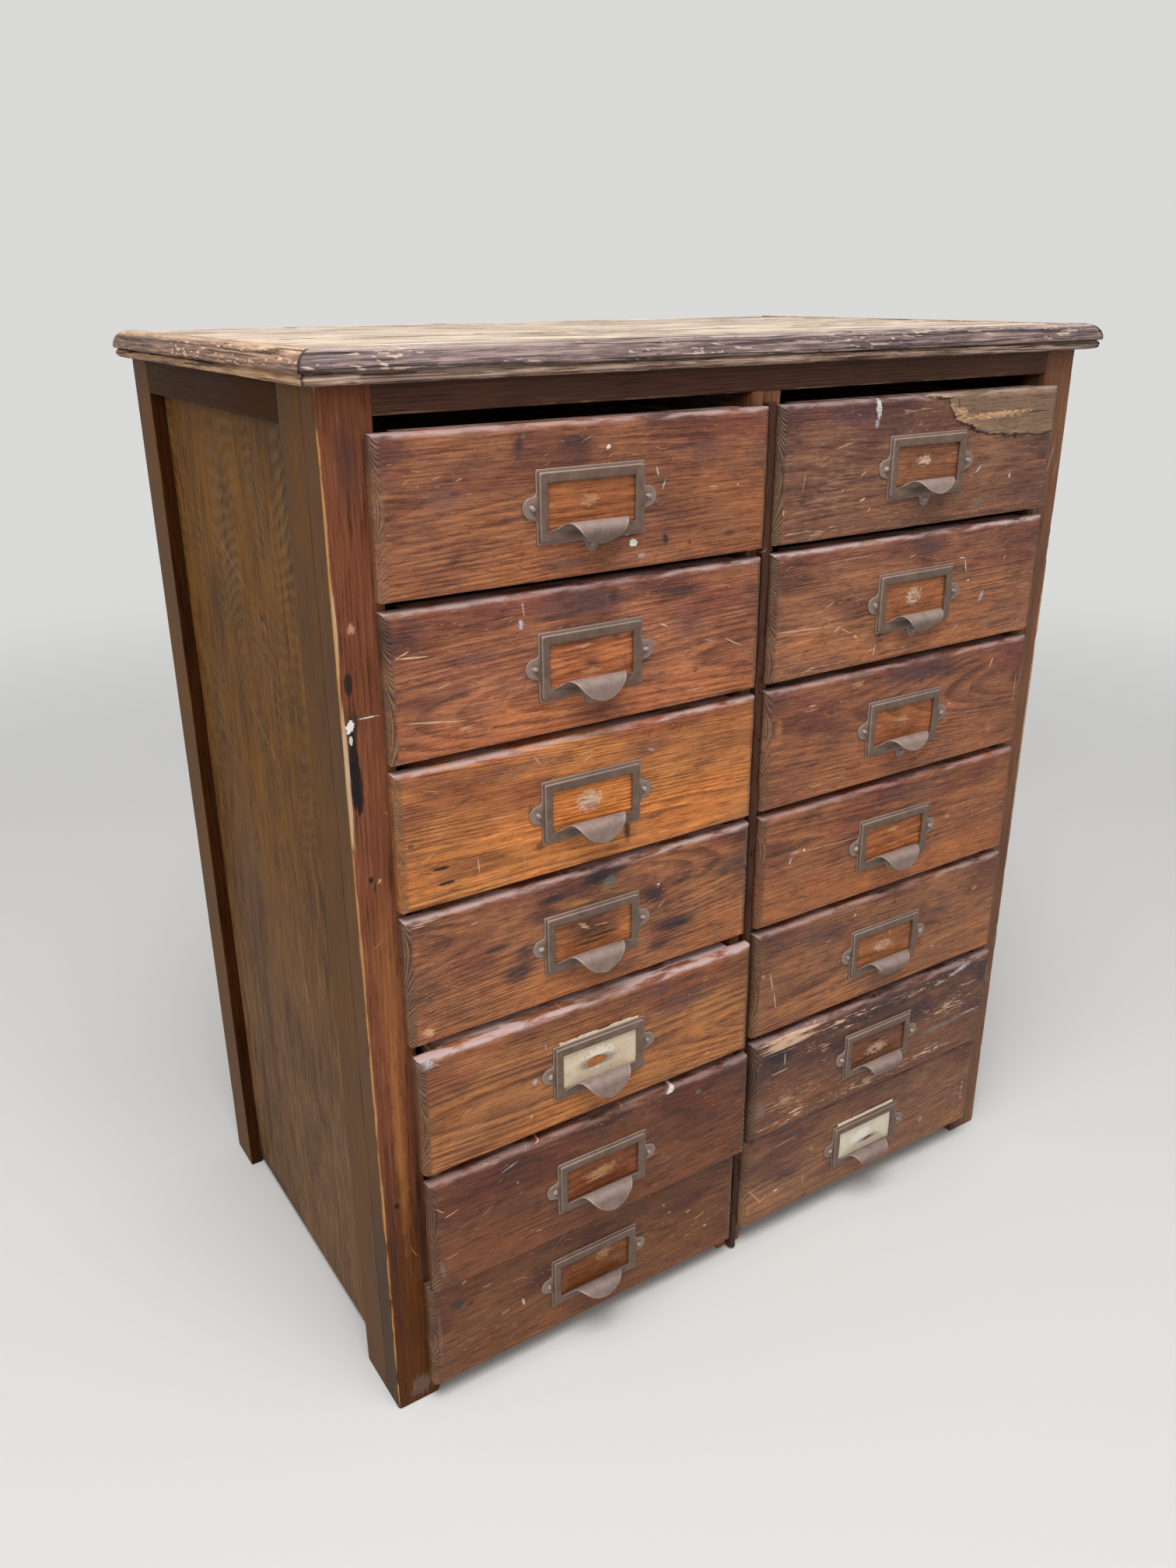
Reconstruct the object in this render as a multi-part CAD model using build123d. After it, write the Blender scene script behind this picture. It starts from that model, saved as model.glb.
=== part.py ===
from build123d import *
import os
from math import asin, cos, degrees, pi, radians, sin

# A floor-standing chest with two columns of seven drawers. Sizes are in millimetres.
# X runs to the right, Y to the back and Z up. While a piece is made, Y = 0 is the front of the face
# stiles and Z = 0 is the floor. Saving moves every piece by the same amount along Y, so that the origin
# is the centre of the floor area that the whole chest covers.

# Case
case_width = 730
case_depth = 430
case_height = 850  # floor to underside of the top

# Top
top_thick = 22
top_overhang = 17  # at the front; the back is flush
top_side_overhang = 15
top_moulding_width = 22
top_plank_count = 3
ovolo_radius = 13
bead_radius = 5
bead_height = 7.5
bead_set_back = 1.5

# Face frame, centre post and the strip on it
stile_width = 38
stile_thick = 25
top_rail_height = 20
top_rail_thick = 22
tenon_length = 16
tenon_thick = 8
tenon_shoulder = 4
worn_corner = 1.5  # outer corner of a face stile
post_width = 28
strip_width = 8
strip_depth = 9
strip_nose = 3.5
strip_lift = 2
strip_below_rail = 8

# Side frames and their panels
frame_thick = 22
front_side_stile_width = 42
back_side_stile_width = 44
side_top_rail_height = 28
side_bottom_rail_size = 18  # square batten behind the panel
panel_thick = 5
panel_recess = 12
panel_groove = 8
panel_lift = 46

# Back and cross rails
back_board_thick = 12
back_board_count = 7
back_board_joint = 1.5
back_rebate = 11
back_lift = 40
back_rail_thick = 22
back_rail_height = 44
bottom_rail_depth = 40
bottom_rail_height = 14
bottom_rail_lift = 3
bottom_rail_behind = 1

# Centre partition and runners
partition_thick = 18
runner_height = 12
runner_start = 5  # behind the face frame
groove_depth = 5.5
groove_play = 0.3

# Drawer fronts
row_count = 7
front_height = 108.5
front_gap = 6.9  # between one front and the next
rail_gap = 10  # between the top rail and the first front
front_thick = 21
lip_thick = 11
lip_length = 20.5
lip_overlap = 8
front_round = 5
front_bevel_below = 2.5
round_flats = 3  # flats that stand for a quarter circle on fronts and strip
closed_gap = 0.3

# Drawer boxes
box_side_thick = 10
box_side_height = 96
box_side_lift = 6
box_back_thick = 10
box_back_drop = 4
box_back_clear = 8
box_bottom_thick = 4
box_bottom_lift = 6
box_bottom_groove = 5
tail_count = 3
tail_length = 12
tail_root = 9  # half the height of a tail at its shoulder
tail_tip = 11  # half the height of a tail at its end

# Pulls
pull_drop = 2.2  # below the middle of the front
frame_width = 88
frame_height = 48.6
frame_thickness = 3.4
frame_edge = 1.1
window_width = 74
window_height = 33
flange_margin = 1.8
flange_thick = 1.2
ear_radius = 7.6
ear_shoulder = 2
ear_sides = 12
low_ear_radius = 6
screw_span = 98.4
low_screw_drop = 4.5  # below the frame
screw_head_radius = 2.75
screw_head_height = 1.8
screw_head_flat = 1.6
screw_head_sides = 6
screw_shank_width = 2.4  # square, in place of the thread
screw_length = 11
card_slot_width = 80
card_slot_depth = 1.2
card_slot_ledge = 3.5
tongue_thick = 1.3
tongue_rise = 2.5
tongue_rise_angle = 57
tongue_curl = 7
tongue_bends = {"even": (134, 11), "curled": (182, 6), "short": (126, 7)}  # turn of the curl, length of tail
tongue_root_half = 34
tongue_neck_half = 22
tongue_end_half = 23
tongue_end_centre = 8
tongue_root_depth = 2
tongue_curl_flats = 5
tongue_end_flats = 8

# Cards
card_width = 79
card_height = 49
card_thick = 0.6
card_play = 0.3
carded = ("L5", "R7")

# From the top row down: how far each drawer stands open, and how use has left the tongue of its pull
drawer_open = {"L": (2, 0.7, 0.9, 0.9, 10.5, 14.5, 0.7), "R": (0.7, 0.7, 0.7, 1.8, 3.2, 7, 0.7)}
drawer_bend = {"L": ("curled", "even", "even", "even", "even", "even", "short"),
               "R": ("short", "curled", "short", "even", "curled", "curled", "curled")}
trimmed = {"R7": 6}  # planed off the lower edge of the front

# Worked out from the sizes above
half_width = case_width / 2
row_pitch = front_height + front_gap
stile_inner = half_width - stile_width
frame_inner = half_width - frame_thick
first_front_top = case_height - top_rail_height - rail_gap
front_outer = stile_inner + lip_overlap
front_inner = post_width / 2 - lip_overlap
front_width = front_outer - front_inner
front_centre = (front_outer + front_inner) / 2
body_width = front_width - 2 * lip_length
back_rail_front = case_depth - back_board_thick - back_rail_thick
bottom_rail_top = bottom_rail_lift + bottom_rail_height
front_face = -closed_gap - lip_thick
front_back = front_face + front_thick
box_end = back_rail_front - box_back_clear
pull_centre = front_height / 2 - pull_drop
groove_middle = box_side_lift + box_side_height / 2
window_foot = -window_height / 2
tongue_axis = tongue_rise * cos(radians(tongue_rise_angle)) + tongue_curl * sin(radians(tongue_rise_angle))
tongue_neck = tongue_axis + tongue_curl
tongue_ends = [(radians(turn - tongue_rise_angle), tail) for turn, tail in tongue_bends.values()]
tongue_reach = tongue_axis + max((tongue_curl + tongue_thick / 2) * sin(end) + tail * cos(end)
                                 for end, tail in tongue_ends)
most_open = max(max(column) for column in drawer_open.values())
frontmost = front_face - frame_thickness - tongue_reach - most_open
set_back = -(frontmost + case_depth) / 2


def block(x, y, z):
    """A box given by its lowest and highest X, Y and Z."""
    size = [high - low for low, high in (x, y, z)]
    return Pos(x[0], y[0], z[0]) * Box(*size, align=(Align.MIN, Align.MIN, Align.MIN))


def plate(plane, points, low, high):
    """A flat outline on a plane, thickened from low to high along the plane's normal."""
    return extrude(plane.offset(low) * make_face(Polyline(*points, close=True)), high - low)


def rounded(edge, lift, radius):
    """Quarter circle as a few flats, from an upright side at the edge to a level top at the lift."""
    turns = [radians(90 * n / round_flats) for n in range(round_flats + 1)]
    return [(edge - radius + radius * cos(turn), lift - radius + radius * sin(turn)) for turn in turns]


def save(name, *solids):
    moved = [Pos(0, set_back, 0) * solid for solid in solids]
    export_step(Compound(children=moved) if len(moved) > 1 else moved[0], f"parts/{name}.step")


def mirrored(solid):
    return mirror(solid, about=Plane.YZ)


# Top

def top_planks():
    """Planks glued edge to edge, inside the mouldings."""
    side = half_width + top_side_overhang - top_moulding_width
    front = top_moulding_width - top_overhang
    width = (case_depth - front) / top_plank_count
    above = (case_height, case_height + top_thick)
    starts = [front + n * width for n in range(top_plank_count)]
    return [block((-side, side), (start, start + width), above) for start in starts]


def moulding_outline():
    """Ovolo over a quirk and a bead, drawn outwards from the planks and up from the case."""
    reach = top_moulding_width
    bead_reach = reach - bead_set_back
    ovolo_foot = top_thick - ovolo_radius
    lines = [
        Line((0, 0), (bead_reach - bead_radius, 0)),
        RadiusArc((bead_reach - bead_radius, 0), (bead_reach, bead_radius), -bead_radius),
        Line((bead_reach, bead_radius), (bead_reach, bead_height)),
        Line((bead_reach, bead_height), (reach, bead_height)),
        Line((reach, bead_height), (reach, ovolo_foot)),
        RadiusArc((reach, ovolo_foot), (reach - ovolo_radius, top_thick), -ovolo_radius),
        Line((reach - ovolo_radius, top_thick), (0, top_thick)),
        Line((0, top_thick), (0, 0)),
    ]
    return make_face(lines)


def top_mouldings():
    """The front length and the left return, mitred where they meet."""
    outer = half_width + top_side_overhang
    inner = outer - top_moulding_width
    depth = top_moulding_width - top_overhang
    above = (case_height, case_height + top_thick)
    front_end = Plane((outer, depth, case_height), x_dir=(0, -1, 0), z_dir=(-1, 0, 0))
    front_plan = [(-outer, -top_overhang), (outer, -top_overhang), (inner, depth), (-inner, depth)]
    front = extrude(front_end * moulding_outline(), 2 * outer) & plate(Plane.XY, front_plan, *above)
    side_end = Plane((-inner, -top_overhang, case_height), x_dir=(-1, 0, 0), z_dir=(0, 1, 0))
    side_plan = [(-outer, -top_overhang), (-inner, depth), (-inner, case_depth), (-outer, case_depth)]
    side_length = case_depth + top_overhang
    side = extrude(side_end * moulding_outline(), side_length) & plate(Plane.XY, side_plan, *above)
    return front, side


# Face frame

def rail_tenon(side):
    """Tenon of the top rail in a face stile: -1 is the left end and 1 the right end."""
    near, far = sorted((side * stile_inner, side * (stile_inner + tenon_length)))
    middle = top_rail_thick / 2
    return block((near, far), (middle - tenon_thick / 2, middle + tenon_thick / 2),
                 (case_height - top_rail_height + tenon_shoulder, case_height - tenon_shoulder))


def post_tenon():
    middle = top_rail_thick / 2
    foot = case_height - top_rail_height
    half = post_width / 2 - tenon_shoulder
    return block((-half, half), (middle - tenon_thick / 2, middle + tenon_thick / 2),
                 (foot, foot + top_rail_height / 2))


def face_stile():
    """Left face stile, with its worn outer corner and its mortise."""
    stile = block((-half_width, -stile_inner), (0, stile_thick), (0, case_height))
    corner = stile.edges().filter_by(Axis.Z).sort_by(Axis.X)[:2].sort_by(Axis.Y)[0]
    return chamfer(corner, worn_corner) - rail_tenon(-1)


def top_rail():
    foot = case_height - top_rail_height
    rail = block((-stile_inner, stile_inner), (0, top_rail_thick), (foot, case_height))
    return rail + rail_tenon(-1) + rail_tenon(1) - post_tenon()


def centre_post():
    half = post_width / 2
    return block((-half, half), (0, stile_thick), (0, case_height - top_rail_height)) + post_tenon()


def centre_strip():
    """Round-nosed strip that fills the gap between the two columns of fronts."""
    half = strip_width / 2
    nose = rounded(half, strip_depth, strip_nose)
    outline = [(half, 0), *nose, *[(-x, y) for x, y in nose[::-1]], (-half, 0)]
    return plate(Plane.XY, [(x, -y) for x, y in outline], strip_lift,
                 case_height - top_rail_height - strip_below_rail)


# Sides

def side_panel():
    """Left plywood panel, held in grooves on three edges."""
    outer = -half_width + panel_recess
    return block((outer, outer + panel_thick),
                 (stile_thick + front_side_stile_width - panel_groove,
                  case_depth - back_side_stile_width + panel_groove),
                 (panel_lift, case_height - side_top_rail_height + panel_groove))


def side_frame():
    """Left side frame: front stile, back stile, top rail and the batten behind the panel's lower edge."""
    across = (-half_width, -frame_inner)
    front_edge = stile_thick + front_side_stile_width
    back_edge = case_depth - back_side_stile_width
    panel = side_panel()
    front = block(across, (stile_thick, front_edge), (0, case_height)) - panel
    rebate = block((-frame_inner - back_rebate, -frame_inner), (case_depth - back_board_thick, case_depth),
                   (back_lift, case_height))
    back = block(across, (back_edge, case_depth), (0, case_height)) - panel - rebate
    rail = block(across, (front_edge, back_edge), (case_height - side_top_rail_height, case_height)) - panel
    batten_outer = -half_width + panel_recess + panel_thick
    batten = block((batten_outer, batten_outer + side_bottom_rail_size), (front_edge, back_edge),
                   (panel_lift, panel_lift + side_bottom_rail_size))
    return front, back, rail, batten


# Back, cross rails and partition

def back_boards():
    """Upright boards with a small vee at each joint, let into the rebates of the back stiles."""
    half = frame_inner + back_rebate
    width = 2 * half / back_board_count
    behind = (case_depth - back_board_thick, case_depth)
    boards = []
    for n in range(back_board_count):
        left = -half + n * width
        board = block((left, left + width), behind, (back_lift, case_height))
        joints = board.edges().filter_by(Axis.Z).sort_by(Axis.Y)[2:]
        boards.append(chamfer(joints, back_board_joint))
    return boards


def cross_rails():
    """Bottom front rail, back top rail and back bottom rail, all between the side frames."""
    across = (-frame_inner, frame_inner)
    behind = stile_thick + bottom_rail_behind
    back = (back_rail_front, back_rail_front + back_rail_thick)
    return (
        block(across, (behind, behind + bottom_rail_depth), (bottom_rail_lift, bottom_rail_top)),
        block(across, back, (case_height - back_rail_height, case_height)),
        block(across, back, (panel_lift, panel_lift + back_rail_height)),
    )


def centre_partition():
    half = partition_thick / 2
    return block((-half, half), (stile_thick, back_rail_front), (bottom_rail_top, case_height))


def drawer_runners():
    """Battens on the side frames and the partition, one each side of every drawer."""
    tip_outer = front_outer - lip_length - groove_depth + groove_play
    tip_inner = front_inner + lip_length + groove_depth - groove_play
    along = (stile_thick + runner_start, back_rail_front)
    runners = []
    for row in range(row_count):
        foot = front_foot(row) + groove_middle - runner_height / 2
        for near, far in ((tip_outer, frame_inner), (partition_thick / 2, tip_inner)):
            runners.append(block((near, far), along, (foot, foot + runner_height)))
            runners.append(block((-far, -near), along, (foot, foot + runner_height)))
    return runners


# One drawer, made closed, with X = 0 at its middle and Z = 0 at the foot of its front

def front_foot(row):
    return first_front_top - front_height - row * row_pitch


def tail(side, n):
    """One dovetail of a box side, n counted from the bottom."""
    middle = box_side_lift + (n + 0.5) * box_side_height / tail_count
    outline = [(front_back, middle - tail_root), (front_back - tail_length, middle - tail_tip),
               (front_back - tail_length, middle + tail_tip), (front_back, middle + tail_root)]
    inner, outer = sorted((side * (body_width / 2 - box_side_thick), side * body_width / 2))
    return plate(Plane.YZ, outline, inner, outer)


def box_bottom():
    half = body_width / 2 - box_side_thick + box_bottom_groove
    foot = box_side_lift + box_bottom_lift
    return block((-half, half), (front_back - box_bottom_groove, box_end), (foot, foot + box_bottom_thick))


def box_side(side):
    """A box side with its tails, its bottom groove and the groove that runs on the batten."""
    half = body_width / 2
    inner, outer = sorted((side * (half - box_side_thick), side * half))
    board = block((inner, outer), (front_back, box_end), (box_side_lift, box_side_lift + box_side_height))
    for n in range(tail_count):
        board += tail(side, n)
    near, far = sorted((side * (half - groove_depth), side * half))
    half_groove = runner_height / 2 + groove_play
    groove = block((near, far), (front_back + tail_length, box_end),
                   (groove_middle - half_groove, groove_middle + half_groove))
    return board - groove - box_bottom()


def box_back():
    half = body_width / 2 - box_side_thick
    foot = box_side_lift + box_bottom_lift + box_bottom_thick
    top = box_side_lift + box_side_height - box_back_drop
    return block((-half, half), (box_end - box_back_thick, box_end), (foot, top))


def screw_places():
    """Centres of the three screws on the face of the front, from the middle of the card frame."""
    return (-screw_span / 2, 0), (screw_span / 2, 0), (0, -frame_height / 2 - low_screw_drop)


def screw_shank(x, z):
    half = screw_shank_width / 2
    seat = front_face - flange_thick
    level = pull_centre + z
    return block((x - half, x + half), (seat, seat + screw_length), (level - half, level + half))


def screw(x, z):
    """Round-head screw, with a few flats in place of its curve."""
    seat = front_face - flange_thick
    level = pull_centre + z
    turns = [2 * pi * n / screw_head_sides for n in range(screw_head_sides)]
    low, high = [[Vector(x + radius * cos(turn), seat - out, level + radius * sin(turn)) for turn in turns]
                 for radius, out in ((screw_head_radius, 0), (screw_head_flat, screw_head_height))]
    flats = [(low[n - 1], low[n], high[n], high[n - 1]) for n in range(screw_head_sides)]
    faces = [make_face(Polyline(*corners, close=True)).face() for corners in (low, high, *flats)]
    return Solid(Shell(faces)) + screw_shank(x, z)


def drawer_front():
    """Lipped front with rounded edges, sockets for the tails and pilot holes for the screws."""
    half = front_width / 2
    lip_back = front_face + lip_thick
    end = rounded(half, -front_face, front_round)
    plan = [(half, -lip_back), *end, *[(-x, y) for x, y in end[::-1]], (-half, -lip_back)]
    upper = rounded(-front_face, front_height, front_round)
    section = [(-lip_back, 0), (-front_face - front_bevel_below, 0), (-front_face, front_bevel_below),
               *upper, (-lip_back, front_height)]
    lip = plate(Plane.XY, [(x, -y) for x, y in plan], 0, front_height)
    lip &= plate(Plane.YZ, [(-y, z) for y, z in section], -half, half)
    front = lip + block((-body_width / 2, body_width / 2), (lip_back, front_back), (0, front_height))
    for side in (-1, 1):
        for n in range(tail_count):
            front -= tail(side, n)
    for x, z in screw_places():
        front -= screw_shank(x, z)
    return front - box_bottom()


def flange():
    """Thin plate with two side ears and one below, shouldered into the frame's edges."""
    half_wide = frame_width / 2 + flange_margin
    half_high = frame_height / 2 + flange_margin
    outline = Rectangle(2 * half_wide, 2 * half_high)
    for place, radius in zip(screw_places(), (ear_radius, ear_radius, low_ear_radius)):
        outline += Pos(*place) * RegularPolygon(radius, ear_sides)
    near = 0.01
    shoulders = [v for v in outline.vertices()
                 if abs(abs(v.X) - half_wide) < near and abs(v.Y) < half_high - near
                 or abs(v.Y + half_high) < near and abs(v.X) < half_wide - near]
    return extrude(pull_plane(0) * chamfer(shoulders, ear_shoulder), flange_thick)


def pull_plane(out):
    """The plane of the front's face at the middle of the card frame, moved out by a distance."""
    return Plane((0, front_face - out, pull_centre), x_dir=(1, 0, 0), z_dir=(0, -1, 0))


def tongue(bend):
    """Finger tongue: a sheet that rises at the window's foot, curls over and ends in a half ellipse."""
    turn, tail_length = tongue_bends[bend]
    front = front_face - frame_thickness
    foot = pull_centre + window_foot
    rise, end = tongue_rise_angle, tongue_rise_angle - turn
    centre = (front - tongue_rise * cos(radians(rise)) - tongue_curl * sin(radians(rise)),
              foot + tongue_rise * sin(radians(rise)) - tongue_curl * cos(radians(rise)))

    def at(angle, radius, beyond=0):
        """A point of the section where the sheet slopes by an angle, moved on along that slope."""
        slope = radians(angle)
        return (centre[0] + radius * sin(slope) - beyond * cos(slope),
                centre[1] + radius * cos(slope) + beyond * sin(slope))

    turns = [rise - n * turn / tongue_curl_flats for n in range(tongue_curl_flats + 1)]
    section = []
    for radius, order in ((tongue_curl + tongue_thick / 2, 1), (tongue_curl - tongue_thick / 2, -1)):
        side = [at(rise, radius, -tongue_rise - tongue_root_depth), *[at(turn, radius) for turn in turns],
                at(end, radius, tail_length)]
        section += side[::order]
    sheet = plate(Plane.YZ, section, -tongue_root_half, tongue_root_half)

    neck, far = front - tongue_neck, front - 2 * tongue_neck
    plan = [(-tongue_root_half, front_face), (-tongue_root_half, front), (-tongue_neck_half, neck),
            (-tongue_neck_half, far), (tongue_neck_half, far), (tongue_neck_half, neck),
            (tongue_root_half, front), (tongue_root_half, front_face)]
    above = plate(Plane.XY, plan, foot, foot + 2 * tongue_curl)
    root = block((-tongue_root_half, tongue_root_half), (front - tongue_rise, front_face),
                 (foot - frame_thickness, foot))
    tip = at(end, tongue_curl, tail_length)[1]
    middle = foot + tongue_end_centre
    start = -degrees(asin(tongue_end_centre / (middle - tip)))
    steps = [radians(start - n * (180 + 2 * start) / tongue_end_flats) for n in range(tongue_end_flats + 1)]
    outline = [(tongue_end_half * cos(step), middle + (middle - tip) * sin(step)) for step in steps]
    below = plate(Plane.XZ, outline, tongue_rise - front, -far)
    return sheet & (above + root + below)


def pull(bend):
    """Card frame, flange with ears and finger tongue, cast in one."""
    frame = extrude(pull_plane(0) * Rectangle(frame_width, frame_height), frame_thickness)
    frame = chamfer(frame.faces().sort_by(Axis.Y)[0].edges(), frame_edge)
    body = frame + flange()
    body -= extrude(pull_plane(-1) * Rectangle(window_width, window_height), frame_thickness + 2)
    slot_foot = pull_centre + window_foot - card_slot_ledge
    half = card_slot_width / 2
    body -= block((-half, half), (front_face - card_slot_depth, front_face + 1),
                  (slot_foot, pull_centre + frame_height))
    body += tongue(bend)
    for x, z in screw_places():
        body -= screw_shank(x, z)
    return body


def card():
    foot = pull_centre + window_foot - card_slot_ledge + card_play
    half = card_width / 2
    behind = front_face - card_play
    return block((-half, half), (behind - card_thick, behind), (foot, foot + card_height))


def save_drawers():
    front = drawer_front()
    box = [box_side(-1), box_side(1), box_back(), box_bottom()]
    screws = [screw(x, z) for x, z in screw_places()]
    pulls = {bend: pull(bend) for bend in tongue_bends}
    for column, side in (("L", -1), ("R", 1)):
        for row in range(row_count):
            name = f"{column}{row + 1}"
            place = Pos(side * front_centre, -drawer_open[column][row], front_foot(row))
            own_front = front
            if name in trimmed:
                across = (-front_width, front_width)
                own_front = front - block(across, (front_face, front_back), (0, trimmed[name]))
            own_pull = pulls[drawer_bend[column][row]]
            save(f"drawer_{name}_front", place * own_front)
            save(f"drawer_{name}_box", *[place * solid for solid in box])
            save(f"drawer_{name}_pull", *[place * solid for solid in (own_pull, *screws)])
            if name in carded:
                save(f"card_{name}", place * card())


def save_case():
    front_moulding, left_moulding = top_mouldings()
    save("top_board", *top_planks())
    save("top_moulding_front", front_moulding)
    save("top_moulding_left", left_moulding)
    save("top_moulding_right", mirrored(left_moulding))
    save("face_stile_left", face_stile())
    save("face_stile_right", mirrored(face_stile()))
    save("top_rail", top_rail())
    save("centre_post", centre_post())
    save("centre_strip", centre_strip())
    save("side_frame_left", *side_frame())
    save("side_frame_right", *[mirrored(piece) for piece in side_frame()])
    save("side_panels", side_panel(), mirrored(side_panel()))
    save("back_boards", *back_boards())
    save("cross_rails", *cross_rails())
    save("centre_partition", centre_partition())
    save("drawer_runners", *drawer_runners())


os.makedirs("parts", exist_ok=True)
save_case()
save_drawers()
print("front edge", round(frontmost, 2), "set back", round(set_back, 2), "front feet",
      [round(front_foot(row), 2) for row in range(row_count)])
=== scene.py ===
import math

import bmesh
import bpy
import numpy as np
from mathutils import Matrix, Vector
from mathutils.geometry import tessellate_polygon


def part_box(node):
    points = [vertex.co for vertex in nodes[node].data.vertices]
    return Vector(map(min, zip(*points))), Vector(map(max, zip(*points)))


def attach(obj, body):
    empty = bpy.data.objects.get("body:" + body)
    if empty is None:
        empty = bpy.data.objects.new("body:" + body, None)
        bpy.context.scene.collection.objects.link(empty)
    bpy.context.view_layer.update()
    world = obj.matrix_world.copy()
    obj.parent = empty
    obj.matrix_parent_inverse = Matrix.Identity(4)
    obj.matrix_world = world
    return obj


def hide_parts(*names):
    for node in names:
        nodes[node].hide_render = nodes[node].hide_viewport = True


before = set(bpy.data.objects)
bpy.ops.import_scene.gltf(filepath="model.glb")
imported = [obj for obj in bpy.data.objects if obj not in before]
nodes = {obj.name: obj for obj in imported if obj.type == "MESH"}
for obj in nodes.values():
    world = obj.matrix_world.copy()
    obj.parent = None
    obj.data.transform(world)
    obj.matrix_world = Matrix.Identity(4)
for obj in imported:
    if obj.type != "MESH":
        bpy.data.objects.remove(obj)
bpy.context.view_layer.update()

mm = 0.001
drawerNames = [column + str(row) for column in "LR" for row in range(1, 8)]
print("frame loaded:", len(nodes), "nodes")


def boxOf(node):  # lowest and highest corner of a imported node, in millimetres
    lo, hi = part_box(node)
    return np.array(lo[:]) / mm, np.array(hi[:]) / mm


def planeNoise(x, y, seed):  # smooth noise over a plane, from 0 to 1
    table = np.random.default_rng(seed).random((256, 256))
    x, y = np.broadcast_arrays(np.asarray(x, float), np.asarray(y, float))
    left, low = np.floor(x).astype(int), np.floor(y).astype(int)
    across, up = x - left, y - low
    across, up = across * across * (3 - 2 * across), up * up * (3 - 2 * up)

    def at(i, j):
        return table[i & 255, j & 255]

    lower = at(left, low) * (1 - across) + at(left + 1, low) * across
    upper = at(left, low + 1) * (1 - across) + at(left + 1, low + 1) * across
    return lower * (1 - up) + upper * up


def layeredNoise(x, y, seed, layers=3):
    total = sum(planeNoise(x * 2 ** n, y * 2 ** n, seed + n) / 2 ** n for n in range(layers))
    return total / sum(1 / 2 ** n for n in range(layers))


def smoothStep(value, low, high):
    part = np.clip((value - low) / (high - low), 0, 1)
    return part * part * (3 - 2 * part)


def newPile():  # points and faces of one piece, gathered before its mesh is made
    return {"points": [], "faces": [], "board": [], "edge": [], "count": 0}


def addToPile(pile, points, faces, board, edge):
    start = pile["count"]
    pile["points"].append(np.asarray(points, float))
    pile["board"].append(np.asarray(board, float))
    pile["edge"].append(np.broadcast_to(np.asarray(edge, float), len(points)))
    pile["faces"] += [[corner + start for corner in face] for face in faces]
    pile["count"] += len(points)


def writeAttribute(mesh, name, values):  # a number or a vector for each point
    values = np.asarray(values, np.float32)
    kind, part = ("FLOAT_VECTOR", "vector") if values.ndim == 2 else ("FLOAT", "value")
    mesh.attributes.new(name, kind, "POINT").data.foreach_set(part, values.ravel())


def newObject(name, data):
    made = bpy.data.objects.new(name, data)
    bpy.context.scene.collection.objects.link(made)
    return made


def shade(mesh, sharpAbove):
    mesh.shade_smooth()
    mesh.set_sharp_from_angle(angle=math.radians(sharpAbove))


def pieceFrom(pile, name, sharpAbove=38, weld=None):
    mesh = bpy.data.meshes.new(name)
    mesh.from_pydata(np.concatenate(pile["points"]).tolist(), [], pile["faces"])
    mesh.update()
    writeAttribute(mesh, "board", np.concatenate(pile["board"]))
    writeAttribute(mesh, "edge", np.concatenate(pile["edge"]))
    if weld:
        work = bmesh.new()
        work.from_mesh(mesh)
        bmesh.ops.remove_doubles(work, verts=work.verts, dist=weld)
        bmesh.ops.dissolve_degenerate(work, edges=work.edges, dist=weld / 10)
        work.to_mesh(mesh)
        work.free()
    shade(mesh, sharpAbove)
    return newObject(name, mesh)


def bandFaces(one, other, count):  # between two rings of count points, which start at one and other
    return [[one + n, one + (n + 1) % count, other + (n + 1) % count, other + n] for n in range(count)]


def skirtFaces(ring, fresh):  # from a ring of point numbers down to a fresh one
    return [[a, b, c, d] for a, b, c, d in zip(ring, fresh, fresh[1:] + fresh[:1], ring[1:] + ring[:1])]


def tubeFaces(stations, ring):  # a closed skin round a row of rings, with a face at both ends
    faces = sum([bandFaces(i * ring, (i + 1) * ring, ring) for i in range(stations - 1)], [])
    faces.append(list(range(ring))[::-1])
    faces.append([(stations - 1) * ring + j for j in range(ring)])
    return faces


def ringNormals(rings):  # outward in the plane of each ring, for rings that run counterclockwise
    tangent = np.roll(rings, -1, 1) - np.roll(rings, 1, 1)
    tangent /= np.linalg.norm(tangent, axis=2)[..., None] + 1e-9
    return np.stack([tangent[..., 1], -tangent[..., 0]], -1)


boardSizes = {"step": 12.0, "across": 9.0, "bits": 3, "margin": 2.0, "rubReach": 4.0, "endInset": 0.5, "endStep": 0.6,
              "slowWear": 70, "quickWear": 17}


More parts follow.
